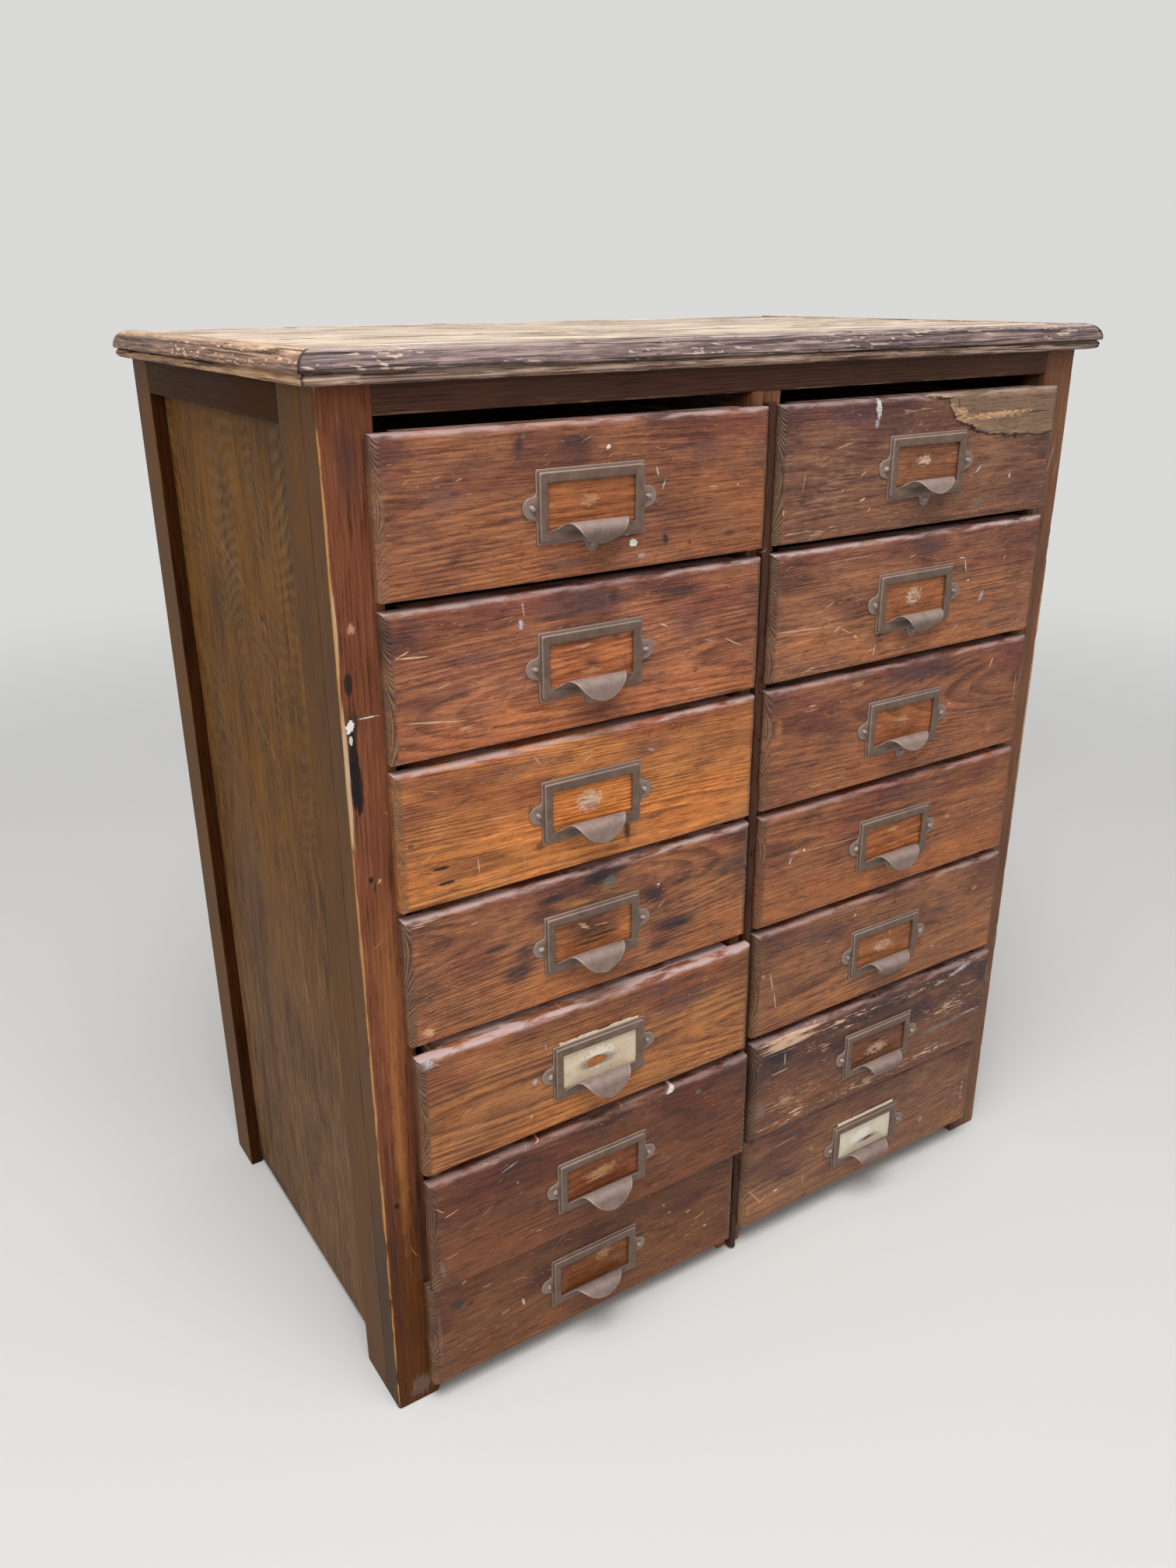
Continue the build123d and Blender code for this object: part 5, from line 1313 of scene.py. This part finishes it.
def makeRailAndPost():
    sizes = caseSizes
    lo, hi = boxOf("top_rail")
    pile = newPile()
    inner = sizes["tenon"]
    addBoard(pile, lo + (inner, 0, 0), hi - (inner, 0, 0), 0, 910, ((1.2, 0.9), (0.6, 0.2), (0.6, 0.2), (0.6, 0.3)),
             step=6.0)
    middle = (lo[1] + hi[1]) / 2
    half = sizes["tenonThick"] / 2
    for start, end in ((lo[0], lo[0] + inner), (hi[0] - inner, hi[0])):
        addBoard(pile, (start, middle - half, lo[2] + sizes["tenonShoulder"]),
                 (end, middle + half, hi[2] - sizes["tenonShoulder"]), 0, 911)
    # the rail's material carries painted shade in its dark tone
    finishPiece(pile, "topRail", "top_rail", "stained_wood",
                makeWoodMaterial("stainedRail", woodLooks["rail"], seed=44.0))
    lo, hi = boxOf("centre_post")
    pile = newPile()
    top = hi[2] - sizes["postTenon"]
    addBoard(pile, lo, (hi[0], hi[1], top), 2, 920, ((1.0, 0.7), (1.0, 0.7), (0.6, 0.2), (0.6, 0.2)), step=8.0)
    shoulder = sizes["postTenonShoulder"]
    addBoard(pile, (lo[0] + shoulder, middle - half, top), (hi[0] - shoulder, middle + half, hi[2]), 2, 921)
    finishPiece(pile, "centrePost", "centre_post", "stained_wood",
                makeWoodMaterial("stainedPost", woodLooks["post"], seed=45.0))
    lo, hi = boxOf("centre_strip")
    pile = newPile()
    nose = (sizes["nose"], 0.8)
    addBoard(pile, lo, hi, 2, 930, (nose, nose, (0.4, 0), (0.4, 0)), step=5.0, across=2.0)
    # the strip's material carries painted shade in its dark tone
    finishPiece(pile, "centreStrip", "centre_strip", "stained_wood",
                makeWoodMaterial("stainedStrip", woodLooks["strip"], seed=46.0))


def mirroredOutline(outline, side):  # outlines are written for the left side
    return outline if side < 0 else [(-u, v, radius, rub) for u, v, radius, rub in outline[::-1]]


def makeSideFrames():
    sizes = caseSizes
    for side, name in ((-1, "left"), (1, "right")):
        lo, hi = boxOf("side_frame_" + name)
        outer = -max(abs(lo[0]), abs(hi[0]))
        inner = outer + sizes["frameThick"]
        grooveOut, grooveIn = outer + sizes["panelRecess"], outer + sizes["panelRecess"] + sizes["panelThick"]
        front, back = lo[1] + sizes["frontSideStile"], hi[1] - sizes["backSideStile"]
        deep = sizes["panelGroove"]
        soft, bare, plain = 0.8, 0.5, 0.0
        pile = newPile()

        def span(one, other, side=side):
            return sorted((side * -one, side * -other))

        def sweep(outline, start, end, seed, wide, side=side, pile=pile):
            outline = mirroredOutline(outline, side)
            across = span(wide[0], wide[1])
            addBoard(pile, (across[0], wide[2], start), (across[1], wide[3], end), 2, seed, outline=outline, step=8.0)

        sweep([(outer, lo[1], soft, 0.3), (inner, lo[1], 0, 0), (inner, front, soft, plain), (grooveIn, front, 0, 0),
               (grooveIn, front - deep, 0, 0), (grooveOut, front - deep, 0, 0), (grooveOut, front, 0, 0),
               (outer, front, soft, bare)], lo[2], hi[2], 940 + side, (outer, inner, lo[1], front))
        rebate = inner - sizes["rebateWide"]
        rebateFront = hi[1] - sizes["rebateDeep"]
        sweep([(outer, back, soft, bare), (grooveOut, back, 0, 0), (grooveOut, back + deep, 0, 0),
               (grooveIn, back + deep, 0, 0), (grooveIn, back, 0, 0), (inner, back, soft, plain),
               (inner, rebateFront, 0, 0), (rebate, rebateFront, 0, 0), (rebate, hi[1], 0.4, 0.2),
               (outer, hi[1], soft, 0.8)], lo[2], hi[2], 944 + side, (outer, inner, back, hi[1]))
        across = span(rebate, inner)
        addBoard(pile, (across[0], rebateFront, lo[2]), (across[1], hi[1], sizes["rebateFoot"]), 2, 948)
        foot, top = hi[2] - sizes["sideRail"], hi[2]
        railOutline = [(foot, outer, soft, 0.6), (top, outer, 0.4, 0.1), (top, inner, 0.4, 0), (foot, inner, soft, 0),
                       (foot, grooveIn, 0, 0), (foot + deep, grooveIn, 0, 0), (foot + deep, grooveOut, 0, 0),
                       (foot, grooveOut, 0, 0)]
        if side > 0:
            railOutline = [(u, -v, radius, rub) for u, v, radius, rub in railOutline[::-1]]
        across = span(outer, inner)
        before = len(pile["faces"])
        addBoard(pile, (across[0], front, foot), (across[1], back, top), 1, 950 + side, outline=railOutline, step=8.0)
        paintedShadeRailFaces = range(before, len(pile["faces"]))
        across = span(grooveIn, grooveIn + sizes["batten"])
        foot = sizes["battenFoot"]
        addBoard(pile, (across[0], front, foot), (across[1], back, foot + sizes["batten"]), 1, 954 + side)
        # the second material is a darker copy of the side wood, painted with the shade under the top
        piece = finishPiece(pile, "sideFrame_" + name, "side_frame_" + name, "stained_wood",
                            makeWoodMaterial("stainedSide_" + name, woodLooks["sideFrame"], seed=48.0 + side),
                            makeWoodMaterial("stainedSideRail_" + name, woodLooks["sideRail"], seed=58.0 + side))
        # the rail's faces take the copy with the painted shade
        for face in paintedShadeRailFaces:
            piece.data.polygons[face].material_index = 1


topSizes = {"planks": 3, "cup": 0.5, "grain": 0.3, "worn": 0.5, "joint": 1.6, "gap": 0.3}


def makeTopBoards():
    sizes = topSizes
    lo, hi = boxOf("top_board")
    pile = newPile()
    width = (hi[1] - lo[1]) / sizes["planks"]
    for n in range(sizes["planks"]):
        start = lo[1] + n * width

        def carve(along, rings, normals, start=start, n=n):
            across = rings[..., 0] - start
            cup = sizes["cup"] * (2 * across / width - 1) ** 2 * (-1 if n == 1 else 1) + sizes["cup"]
            raised = layeredNoise(along / 90 + n * 9, across / 2.4, 960 + n)
            worn = sizes["worn"] * smoothStep(layeredNoise(along / 60, across / 20, 970 + n), 0.5, 0.8)
            return (normals[..., 1] > 0.7) * (cup + sizes["grain"] * raised + worn)

        arris, half = (sizes["joint"], 0.5), sizes["gap"] / 2
        addBoard(pile, (lo[0], start + half, lo[2]), (hi[0], start + width - half, hi[2]), 0, 980 + n,
                 ((0.5, 0), (0.5, 0), arris, arris), step=7.0, across=4.0, carve=carve, shift=1.7 * n)
    look = woodLooks["plank"]
    finishPiece(pile, "topBoards", "top_board", "weathered_wood", makeWoodMaterial("weatheredTop", look, seed=51.0))


mouldingSizes = {
    "wide": 22.0, "high": 22.0, "step": 3.0, "joint": 0.25, "wave": 0.3, "fleck": 0.35, "beadLoss": 1.5,
    "splinter": 2.6, "crack": 0.8, "bead": (15.6, 4.0, 4.9, 4.0), "ovolo": 13.0,
    "broken": {"front": (35, 150), "side": (-90, -50)},
}


def mouldingProfile():
    # out from the planks and up from the case, with the part that each point is on
    x, z, wide, high = mouldingSizes["bead"]
    reach, radius = mouldingSizes["wide"], mouldingSizes["ovolo"]
    points = [(0, 0, "foot"), (6, 0, "foot"), (11, 0, "foot"), (14, 0, "foot")]
    points += [(x + wide * math.cos(t), z + high * math.sin(t), "bead") for t in np.radians(np.linspace(-90, 58, 13))]
    points += [(18.6, 7.65, "quirk"), (20.9, 7.75, "ovolo"), (21.7, 8.1, "ovolo")]
    top = mouldingSizes["high"]
    points += [(reach - radius + radius * math.cos(t), top - radius + radius * math.sin(t), "ovolo")
               for t in np.radians(np.linspace(2, 90, 17))]
    points += [(6.5, top, "flat"), (4, top, "flat"), (1.5, top, "flat"), (0, top - 0.4, "flat"), (0, 14, "back"),
               (0, 7, "back")]
    return np.array([point[:2] for point in points]), [point[2] for point in points]


def wearMoulding(runs, profile, parts, seed, splintered):
    # how deep each point has worn back, and how much bare wood that has left
    sizes = mouldingSizes
    arc = np.concatenate([[0], np.cumsum(np.linalg.norm(np.diff(profile, axis=0), axis=1))])[None]
    t = runs[:, None]
    part = np.array(parts)[None]
    onOvolo, onBead, onFlat = part == "ovolo", part == "bead", part == "flat"
    shown = onOvolo | onBead | onFlat
    depth = sizes["wave"] * layeredNoise(t / 60, arc / 9, seed) * shown
    flecks = smoothStep(layeredNoise(t / 8, arc / 1.5, seed + 5), 0.6, 0.68)
    flecks = flecks * smoothStep(layeredNoise(t / 50, arc / 8, seed + 8), 0.35, 0.6) * (onOvolo | onFlat)
    layers = smoothStep(layeredNoise(t / 55, arc / 1.3, seed + 11), 0.42, 0.62)
    loss = smoothStep(layeredNoise(t / 90, 3.3, seed + 14), 0.3, 0.75) * 0.7 + 0.3
    broken = smoothStep(t, splintered[0], splintered[0] + 4) * smoothStep(-t, -splintered[1], 40 - splintered[1])
    beadWear = onBead * (layers * loss * sizes["beadLoss"] + broken * (0.5 + 0.5 * layers) * sizes["splinter"])
    depth = depth + flecks * sizes["fleck"] + beadWear
    split = np.abs(layeredNoise(t / 120, arc / 5, seed + 17) - 0.5)
    depth = depth + sizes["crack"] * smoothStep(-split, -0.02, 0.0) * onOvolo
    bare = np.clip(flecks * 0.9 + onBead * (0.35 + 0.65 * layers) * loss + broken * onBead, 0, 1)
    return depth, bare


def addMoulding(pile, side, seed):
    # side 0 runs along the front; -1 and 1 run back along the left and right
    profile, parts = mouldingProfile()
    node = {0: "top_moulding_front", -1: "top_moulding_left", 1: "top_moulding_right"}[side]
    lo, hi = boxOf(node)
    length = (hi[0] - lo[0]) if side == 0 else hi[1] - lo[1]
    count = int(length / mouldingSizes["step"]) + 1
    share = np.linspace(0, 1, count)
    splintered = mouldingSizes["broken"]["front" if side == 0 else "side"]
    depth, bare = wearMoulding(share * length, profile, parts, seed, splintered)
    rings = np.broadcast_to(profile, (count, *profile.shape)).copy()
    rings -= ringNormals(rings) * depth[..., None]
    out, up = rings[..., 0], rings[..., 1]
    inner, gap = mouldingSizes["wide"], mouldingSizes["joint"]
    if side == 0:  # swept from left to right, with both ends mitred
        half = (hi[0] - lo[0]) / 2 - inner
        along = (2 * share[:, None] - 1) * (half + out - gap)
        points = np.stack([along, hi[1] - out, lo[2] + up], -1)
    else:
        inside = hi[0] if side < 0 else lo[0]
        start = lo[1] + inner - out + gap
        along = start + share[:, None] * (hi[1] - start)
        points = np.stack([inside + side * out, along, lo[2] + up], -1)
    board = np.stack([along + 37.0 * seed, out, up], -1)
    faces = tubeFaces(count, len(profile))
    if side != -1:
        faces = [face[::-1] for face in faces]
    addToPile(pile, points.reshape(-1, 3) * mm, faces, board.reshape(-1, 3) * mm, bare.ravel())
    return node


mouldingFinish = {
    "ovolo": ((0.07, 0.047, 0.049), (0.155, 0.11, 0.105), (0.32, 0.225, 0.2)), "bare": (0.56, 0.41, 0.33),
    "bead": ((0.05, 0.026, 0.018), (0.24, 0.15, 0.105), (0.52, 0.36, 0.27)), "side": (1.3, 1.12, 0.85),
    "flat": (0.46, 0.37, 0.32), "split": (0.035, 0.022, 0.02), "mitre": (0.055, 0.02, 0.014),
}


def makeMouldingMaterial(name, seed, browner):
    finish = mouldingFinish
    material, tree, shader = newMaterial(name)
    vector, edge = readPiece(tree)
    up = splitVector(vector)[2]

    def wood(part):
        dark, mid, light = finish[part]
        return useGroup(agedWood, Vector=vector, Dark=dark, Mid=mid, Light=light, Pith=(0, 0.0, -0.03),
                        Drift=(0, 0.0, 0.004), Ring_Width=0.0024, Ring_Depth=0.5, Fibre_Depth=1.7, Blotch=1.5,
                        Wander=0.006, Seed=seed)

    ovolo, bead = wood("ovolo"), wood("bead")
    colour = mixColour(ease(up, 0.0074, 0.0079), bead["Color"], ovolo["Color"])
    bleached = noiseOn(vector, 1.0, 3.0, 0.6, (12, 90, 90), (seed, 0, 0))
    bleached = ease(readNormal(tree)[2], 0.72, 0.97) * ease(bleached, 0.3, 0.6)
    colour = mixColour(bleached * 0.75, colour, finish["flat"])
    rough = noiseOn(vector, 1.0, 3.0, 0.6, (60, 500, 500), (seed, 1, 0))
    bare = ease(edge + swing(rough, 0.9), 0.35, 0.8)
    colour = mixColour(bare * 0.8, colour, finish["bare"])
    split = useGroup(checks, Vector=vector, Across=120.0, Width=0.028, Share=0.9, Seed=seed)["Mask"]
    colour = mixColour(split * 0.85, colour, finish["split"])
    colour = tint(browner, colour, finish["side"])
    mitre = ease(attributeOf(tree, "mitre") + swing(rough, 0.0012), 0.0018, 0.0004)
    colour = mixColour(mitre * 0.85, colour, finish["mitre"])
    dressShader(shader, colour, ease(ovolo["Tone"], 0.0, 1.0, 0.55, 0.8), ovolo["Height"] - split, 0.7, 0.001, 0.2)
    return material


def makeMouldings():
    for side, name in ((0, "front"), (-1, "left"), (1, "right")):
        pile = newPile()
        node = addMoulding(pile, side, 62 + side)
        material = makeMouldingMaterial("weatheredMoulding_" + name, 60.0 + side, 0.0 if side == 0 else 1.0)
        piece = finishPiece(pile, "moulding_" + name, node, "weathered_wood", material)
        places = np.concatenate([np.asarray(points) for points in pile["points"]])
        corner = boxOf("top_moulding_front")
        offX = corner[1][0] * mm - np.abs(places[:, 0])
        away = np.abs(offX - (places[:, 1] - corner[0][1] * mm)) / math.sqrt(2)
        writeAttribute(piece.data, "mitre", away)


panelFoot = 7.0  # the panels end just above the floor


def makePanels(material):
    lo, hi = boxOf("side_panels")
    thick = caseSizes["panelThick"]
    pile = newPile()
    for side in (-1, 1):
        across = sorted((side * hi[0], side * (hi[0] - thick)))
        addBoard(pile, (across[0], lo[1], panelFoot), (across[1], hi[1], hi[2]), 2, 990 + side, ((0.5, 0),) * 4,
                 step=20.0)
    finishPiece(pile, "sidePanels", "side_panels", "plywood", material)


def dressNode(node, material):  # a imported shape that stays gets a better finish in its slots
    for slotPlace in nodes[node].material_slots:
        slotPlace.material = material


makeStiles()
makeRailAndPost()
makeSideFrames()
makeTopBoards()
makeMouldings()
print("case pieces made")

insideWood = makeWoodMaterial("bareInside", woodLooks["inside"], "across", seed=71.0)
deepWood = makeWoodMaterial("bareRunners", woodLooks["inside"], "deep", seed=72.0)
boxWood = makeWoodMaterial("bareDrawerBox", woodLooks["box"], "box", seed=73.0)
middleY = 191.82  # of the case, whose depth the panel's marks were measured along
panelMarks = [("stain", (12, 200, 12, 200, 0.5))]
panelMarks += [(kind, *((z, y - middleY, *rest) for z, y, *rest in places)) for kind, *places in boardMarks["panel"]]
makePanels(makeWoodMaterial("stainedPlywood", woodLooks["panel"], "upright", panelMarks, 74.0))
dressNode("back_boards", makeWoodMaterial("bareBack", woodLooks["back"], "upright", seed=75.0))
dressNode("cross_rails", insideWood)
dressNode("centre_partition", deepWood)
dressNode("drawer_runners", deepWood)
for name in drawerNames:
    dressNode(f"drawer_{name}_box", boxWood)
print("packed nodes dressed")


cardSizes = {"thick": 0.34, "bow": 0.12, "offFront": 0.13, "holePoints": 44, "edgeStep": 1.6, "wobble": 0.22,
             "fray": 0.05}
cardTones = {"specks": (0.12, 0.08, 0.05), "edge": (0.1, 0.06, 0.035)}
# cards: middle and half sizes of the hole and of the torn patch in mm from the middle of the pull, and their tones
cardLooks = {
    "L5": {"hole": (-3.5, -1.4, 9.6, 4.6), "torn": 2.2, "tilt": 0.0, "cream": (0.66, 0.53, 0.38),
           "dirt": (0.38, 0.28, 0.18), "paper": (0.8, 0.74, 0.64), "patch": (-1, 2, 17, 10), "topNick": 1.6},
    "R7": {"hole": (5.5, -6.0, 5.2, 1.8), "torn": 0.8, "tilt": 14.0, "cream": (0.72, 0.62, 0.48),
           "dirt": (0.42, 0.33, 0.23), "paper": (0.86, 0.83, 0.76), "patch": (-5, 0, 15, 9), "topNick": 0.5},
}


def makeCardMaterial(name, look, seed):
    material, tree, shader = newMaterial("dirtyCard_" + name)
    vector, edge = readPiece(tree)
    x, _, z = splitVector(vector)
    plane = joinVector(x, z)
    broad = noiseOn(plane, 60.0, 4.0, 0.6, shift=(seed, 0, 0))
    fine = noiseOn(plane, 420.0, 3.0, 0.65, shift=(0, seed, 0))
    dirt = ease(swing(broad, 1.5) + swing(fine, 0.7), -0.1, 0.75)
    colour = mixColour(dirt, look["cream"], look["dirt"])
    patchX, patchZ, patchWide, patchHigh = look["patch"]
    torn = useGroup(spot, Vector=plane, Centre=(patchX * mm, patchZ * mm, 0), Ragged=2.2, Soft=0.2,
                    Size=(patchWide * mm, patchHigh * mm, 1), Grain=(220, 260, 1))["Mask"]
    colour = mixColour(torn * 0.7, colour, look["paper"])
    specks = ease(noiseOn(plane, 300.0, 2.0, 0.5, shift=(3, seed, 0)), 0.67, 0.74)
    colour = mixColour(specks * 0.6, colour, cardTones["specks"])
    colour = mixColour(ease(edge, 0.75, 1.0) * 0.7, colour, cardTones["edge"])
    dressShader(shader, colour, ease(fine, 0.2, 0.8, 0.75, 0.95), fine + torn * 0.8, 0.5, 0.0003)
    return material


def raggedLoop(centreX, centreZ, halfX, halfZ, torn, seed, turn):
    count = cardSizes["holePoints"]
    angles = np.linspace(0, 2 * math.pi, count, endpoint=False)
    wild = cardSizes["wobble"] * torn
    wobble = 1 + wild * (layeredNoise(np.cos(angles) * 2 + 5, np.sin(angles) * 2 + 5, seed) - 0.5)
    wobble = wobble + cardSizes["fray"] * np.random.default_rng(seed).uniform(-1, 1, count)
    x, z = halfX * np.cos(angles) * wobble, halfZ * np.sin(angles) * wobble
    lean = math.radians(turn)
    return np.column_stack([centreX + x * math.cos(lean) - z * math.sin(lean),
                            centreZ + x * math.sin(lean) + z * math.cos(lean)])


def cardOutline(lo, hi, look, seed):  # counterclockwise seen from the front, with a nicked upper edge
    rng = np.random.default_rng(seed)
    spans = [((lo[0], lo[2]), (hi[0], lo[2]), 0.0), ((hi[0], lo[2]), (hi[0], hi[2]), 0.1),
             ((hi[0], hi[2]), (lo[0], hi[2]), look["topNick"]), ((lo[0], hi[2]), (lo[0], lo[2]), 0.1)]
    outline = []
    for start, end, nick in spans:
        start, end = np.array(start), np.array(end)
        count = max(2, int(np.linalg.norm(end - start) / cardSizes["edgeStep"]))
        inward = np.array([-(end - start)[1], (end - start)[0]]) / np.linalg.norm(end - start)
        share = np.arange(count) / count
        nibble = nick * (smoothStep(layeredNoise(share * 9, 1.5, seed), 0.45, 0.75) + 0.15 * rng.random(count))
        outline.append(start + share[:, None] * (end - start) + nibble[:, None] * inward)
    return np.concatenate(outline)


def makeCard(name, seed):
    look = cardLooks[name]
    lo, hi = boxOf("card_" + name)
    frontLo, frontHi = boxOf(f"drawer_{name}_front")
    centre = np.array([(frontLo[0] + frontHi[0]) / 2, frontHi[2] - frontSizes["pullBelowTop"]])
    outer = cardOutline(lo, hi, look, seed)
    x, z, halfX, halfZ = look["hole"]
    hole = raggedLoop(centre[0] + x, centre[1] + z, halfX, halfZ, look["torn"], seed + 1, look["tilt"])
    loops = [outer, hole[::-1]]
    flat = np.concatenate(loops)
    sizes = cardSizes
    bow = sizes["bow"] * np.cos((flat[:, 0] - centre[0]) / 40 * math.pi / 2)
    layers = [np.column_stack([flat[:, 0], lo[1] + sizes["offFront"] - bow + deep, flat[:, 1]])
              for deep in (0, sizes["thick"])]
    total = len(flat)
    faces = []
    for corners in flatFaces(loops):
        faces += [corners, [corner + total for corner in corners[::-1]]]
    for start, end in ((0, len(outer)), (len(outer), total)):
        faces += skirtFaces(list(range(start, end)), list(range(start + total, end + total)))
    points = np.concatenate(layers)
    board = points - (centre[0], lo[1], centre[1])
    edges = np.tile(np.concatenate([np.full(len(outer), 0.5), np.full(len(hole), 1.0)]), 2)
    pile = newPile()
    addToPile(pile, points * mm, faces, board * mm, edges)
    finishPiece(pile, "card_" + name + "_torn", "card_" + name, "card", makeCardMaterial(name, look, seed * 1.0),
                body="drawer_" + name)


makeCard("L5", 81)
makeCard("R7", 86)
print("cards made")


cameraSettings = {"place": (-0.6545, -0.94752, 0.9060), "yaw": 32.88, "pitch": 22.0, "roll": -0.36,
                  "focal": 1586.64, "longSide": 2016}


def makeCamera():
    settings = cameraSettings
    yaw, pitch, roll = (math.radians(settings[key]) for key in ("yaw", "pitch", "roll"))
    ahead = Vector((math.sin(yaw) * math.cos(pitch), math.cos(yaw) * math.cos(pitch), -math.sin(pitch)))
    level = Vector((math.cos(yaw), -math.sin(yaw), 0))
    upright = level.cross(ahead)
    right = level * math.cos(roll) + upright * math.sin(roll)
    above = upright * math.cos(roll) - level * math.sin(roll)
    data = bpy.data.cameras.new("camera")
    data.sensor_width = 36
    data.lens = settings["focal"] / settings["longSide"] * data.sensor_width
    data.clip_start, data.clip_end = 0.02, 100
    camera = newObject("camera", data)
    rows = [[right[n], above[n], -ahead[n], settings["place"][n]] for n in range(3)]
    camera.matrix_world = Matrix(rows + [[0, 0, 0, 1]])
    bpy.context.scene.camera = camera


lightSettings = {
    "world": 0.34, "backdrop": (0.7, 0.7, 0.69),
    "lamps": [("skyLamp", (-0.7, -1.2, 3.5), (0.0, 0.0, 0.45), 2.4, 128),
              ("frontLamp", (-2.6, -2.6, 2.2), (0, 0, 0.4), 1.6, 36)],
    "floor": (0.62, 0.615, 0.6), "floorRough": 0.9, "floorHalf": 30.0, "fade": (0.9, 3.2),
}


def seenDirectly(tree):  # by the camera, or in a reflection
    rays = wiresOf(tree.nodes.new("ShaderNodeLightPath").outputs)
    return calc("MAXIMUM", rays["Is Camera Ray"], calc("MAXIMUM", rays["Is Glossy Ray"], rays["Is Transmission Ray"]))


def makeLight():
    settings = lightSettings
    for name, place, target, size, power in settings["lamps"]:
        data = bpy.data.lights.new(name, "AREA")
        data.shape, data.size, data.energy = "DISK", size, power
        lamp = newObject(name, data)
        lamp.location = place
        lamp.rotation_euler = (Vector(target) - Vector(place)).to_track_quat("-Z", "Y").to_euler()
    world = bpy.data.worlds.new("studio")
    world.use_nodes = True
    tree = world.node_tree
    tree.nodes.clear()
    ambient = addNode(tree, "ShaderNodeBackground", {"Color": (1, 1, 1), "Strength": settings["world"]})
    shown = addNode(tree, "ShaderNodeBackground", {"Color": settings["backdrop"], "Strength": 1.0})
    mixed = grow("ShaderNodeMixShader", {0: seenDirectly(tree), 1: ambient.outputs[0], 2: shown.outputs[0]})
    output = tree.nodes.new("ShaderNodeOutputWorld")
    plug(output.inputs["Surface"], mixed.outputs[0])
    bpy.context.scene.world = world


def makeFloor():
    mesh = bpy.data.meshes.new("floor")
    half = lightSettings["floorHalf"]
    mesh.from_pydata([(-half, -half, 0), (half, -half, 0), (half, half, 0), (-half, half, 0)], [], [(0, 1, 2, 3)])
    material, tree, shader = newMaterial("paleFloor")
    plug(shader.inputs["Base Color"], lightSettings["floor"])
    plug(shader.inputs["Roughness"], lightSettings["floorRough"])
    # far from the object the floor shows the colour of the backdrop
    near, far = lightSettings["fade"]
    faded = ease(lengthOf(readPlace(tree)), near, far) * seenDirectly(tree)
    plain = addNode(tree, "ShaderNodeEmission", {"Color": lightSettings["backdrop"], "Strength": 1.0})
    mixed = grow("ShaderNodeMixShader", {0: faded, 1: shader.outputs[0], 2: plain.outputs[0]})
    plug(tree.nodes["Material Output"].inputs["Surface"], mixed.outputs[0])
    mesh.materials.append(material)
    floor = newObject("floor", mesh)


makeCamera()
makeLight()
makeFloor()
bpy.context.scene.view_settings.view_transform = "Standard"
print("camera, light and floor placed")
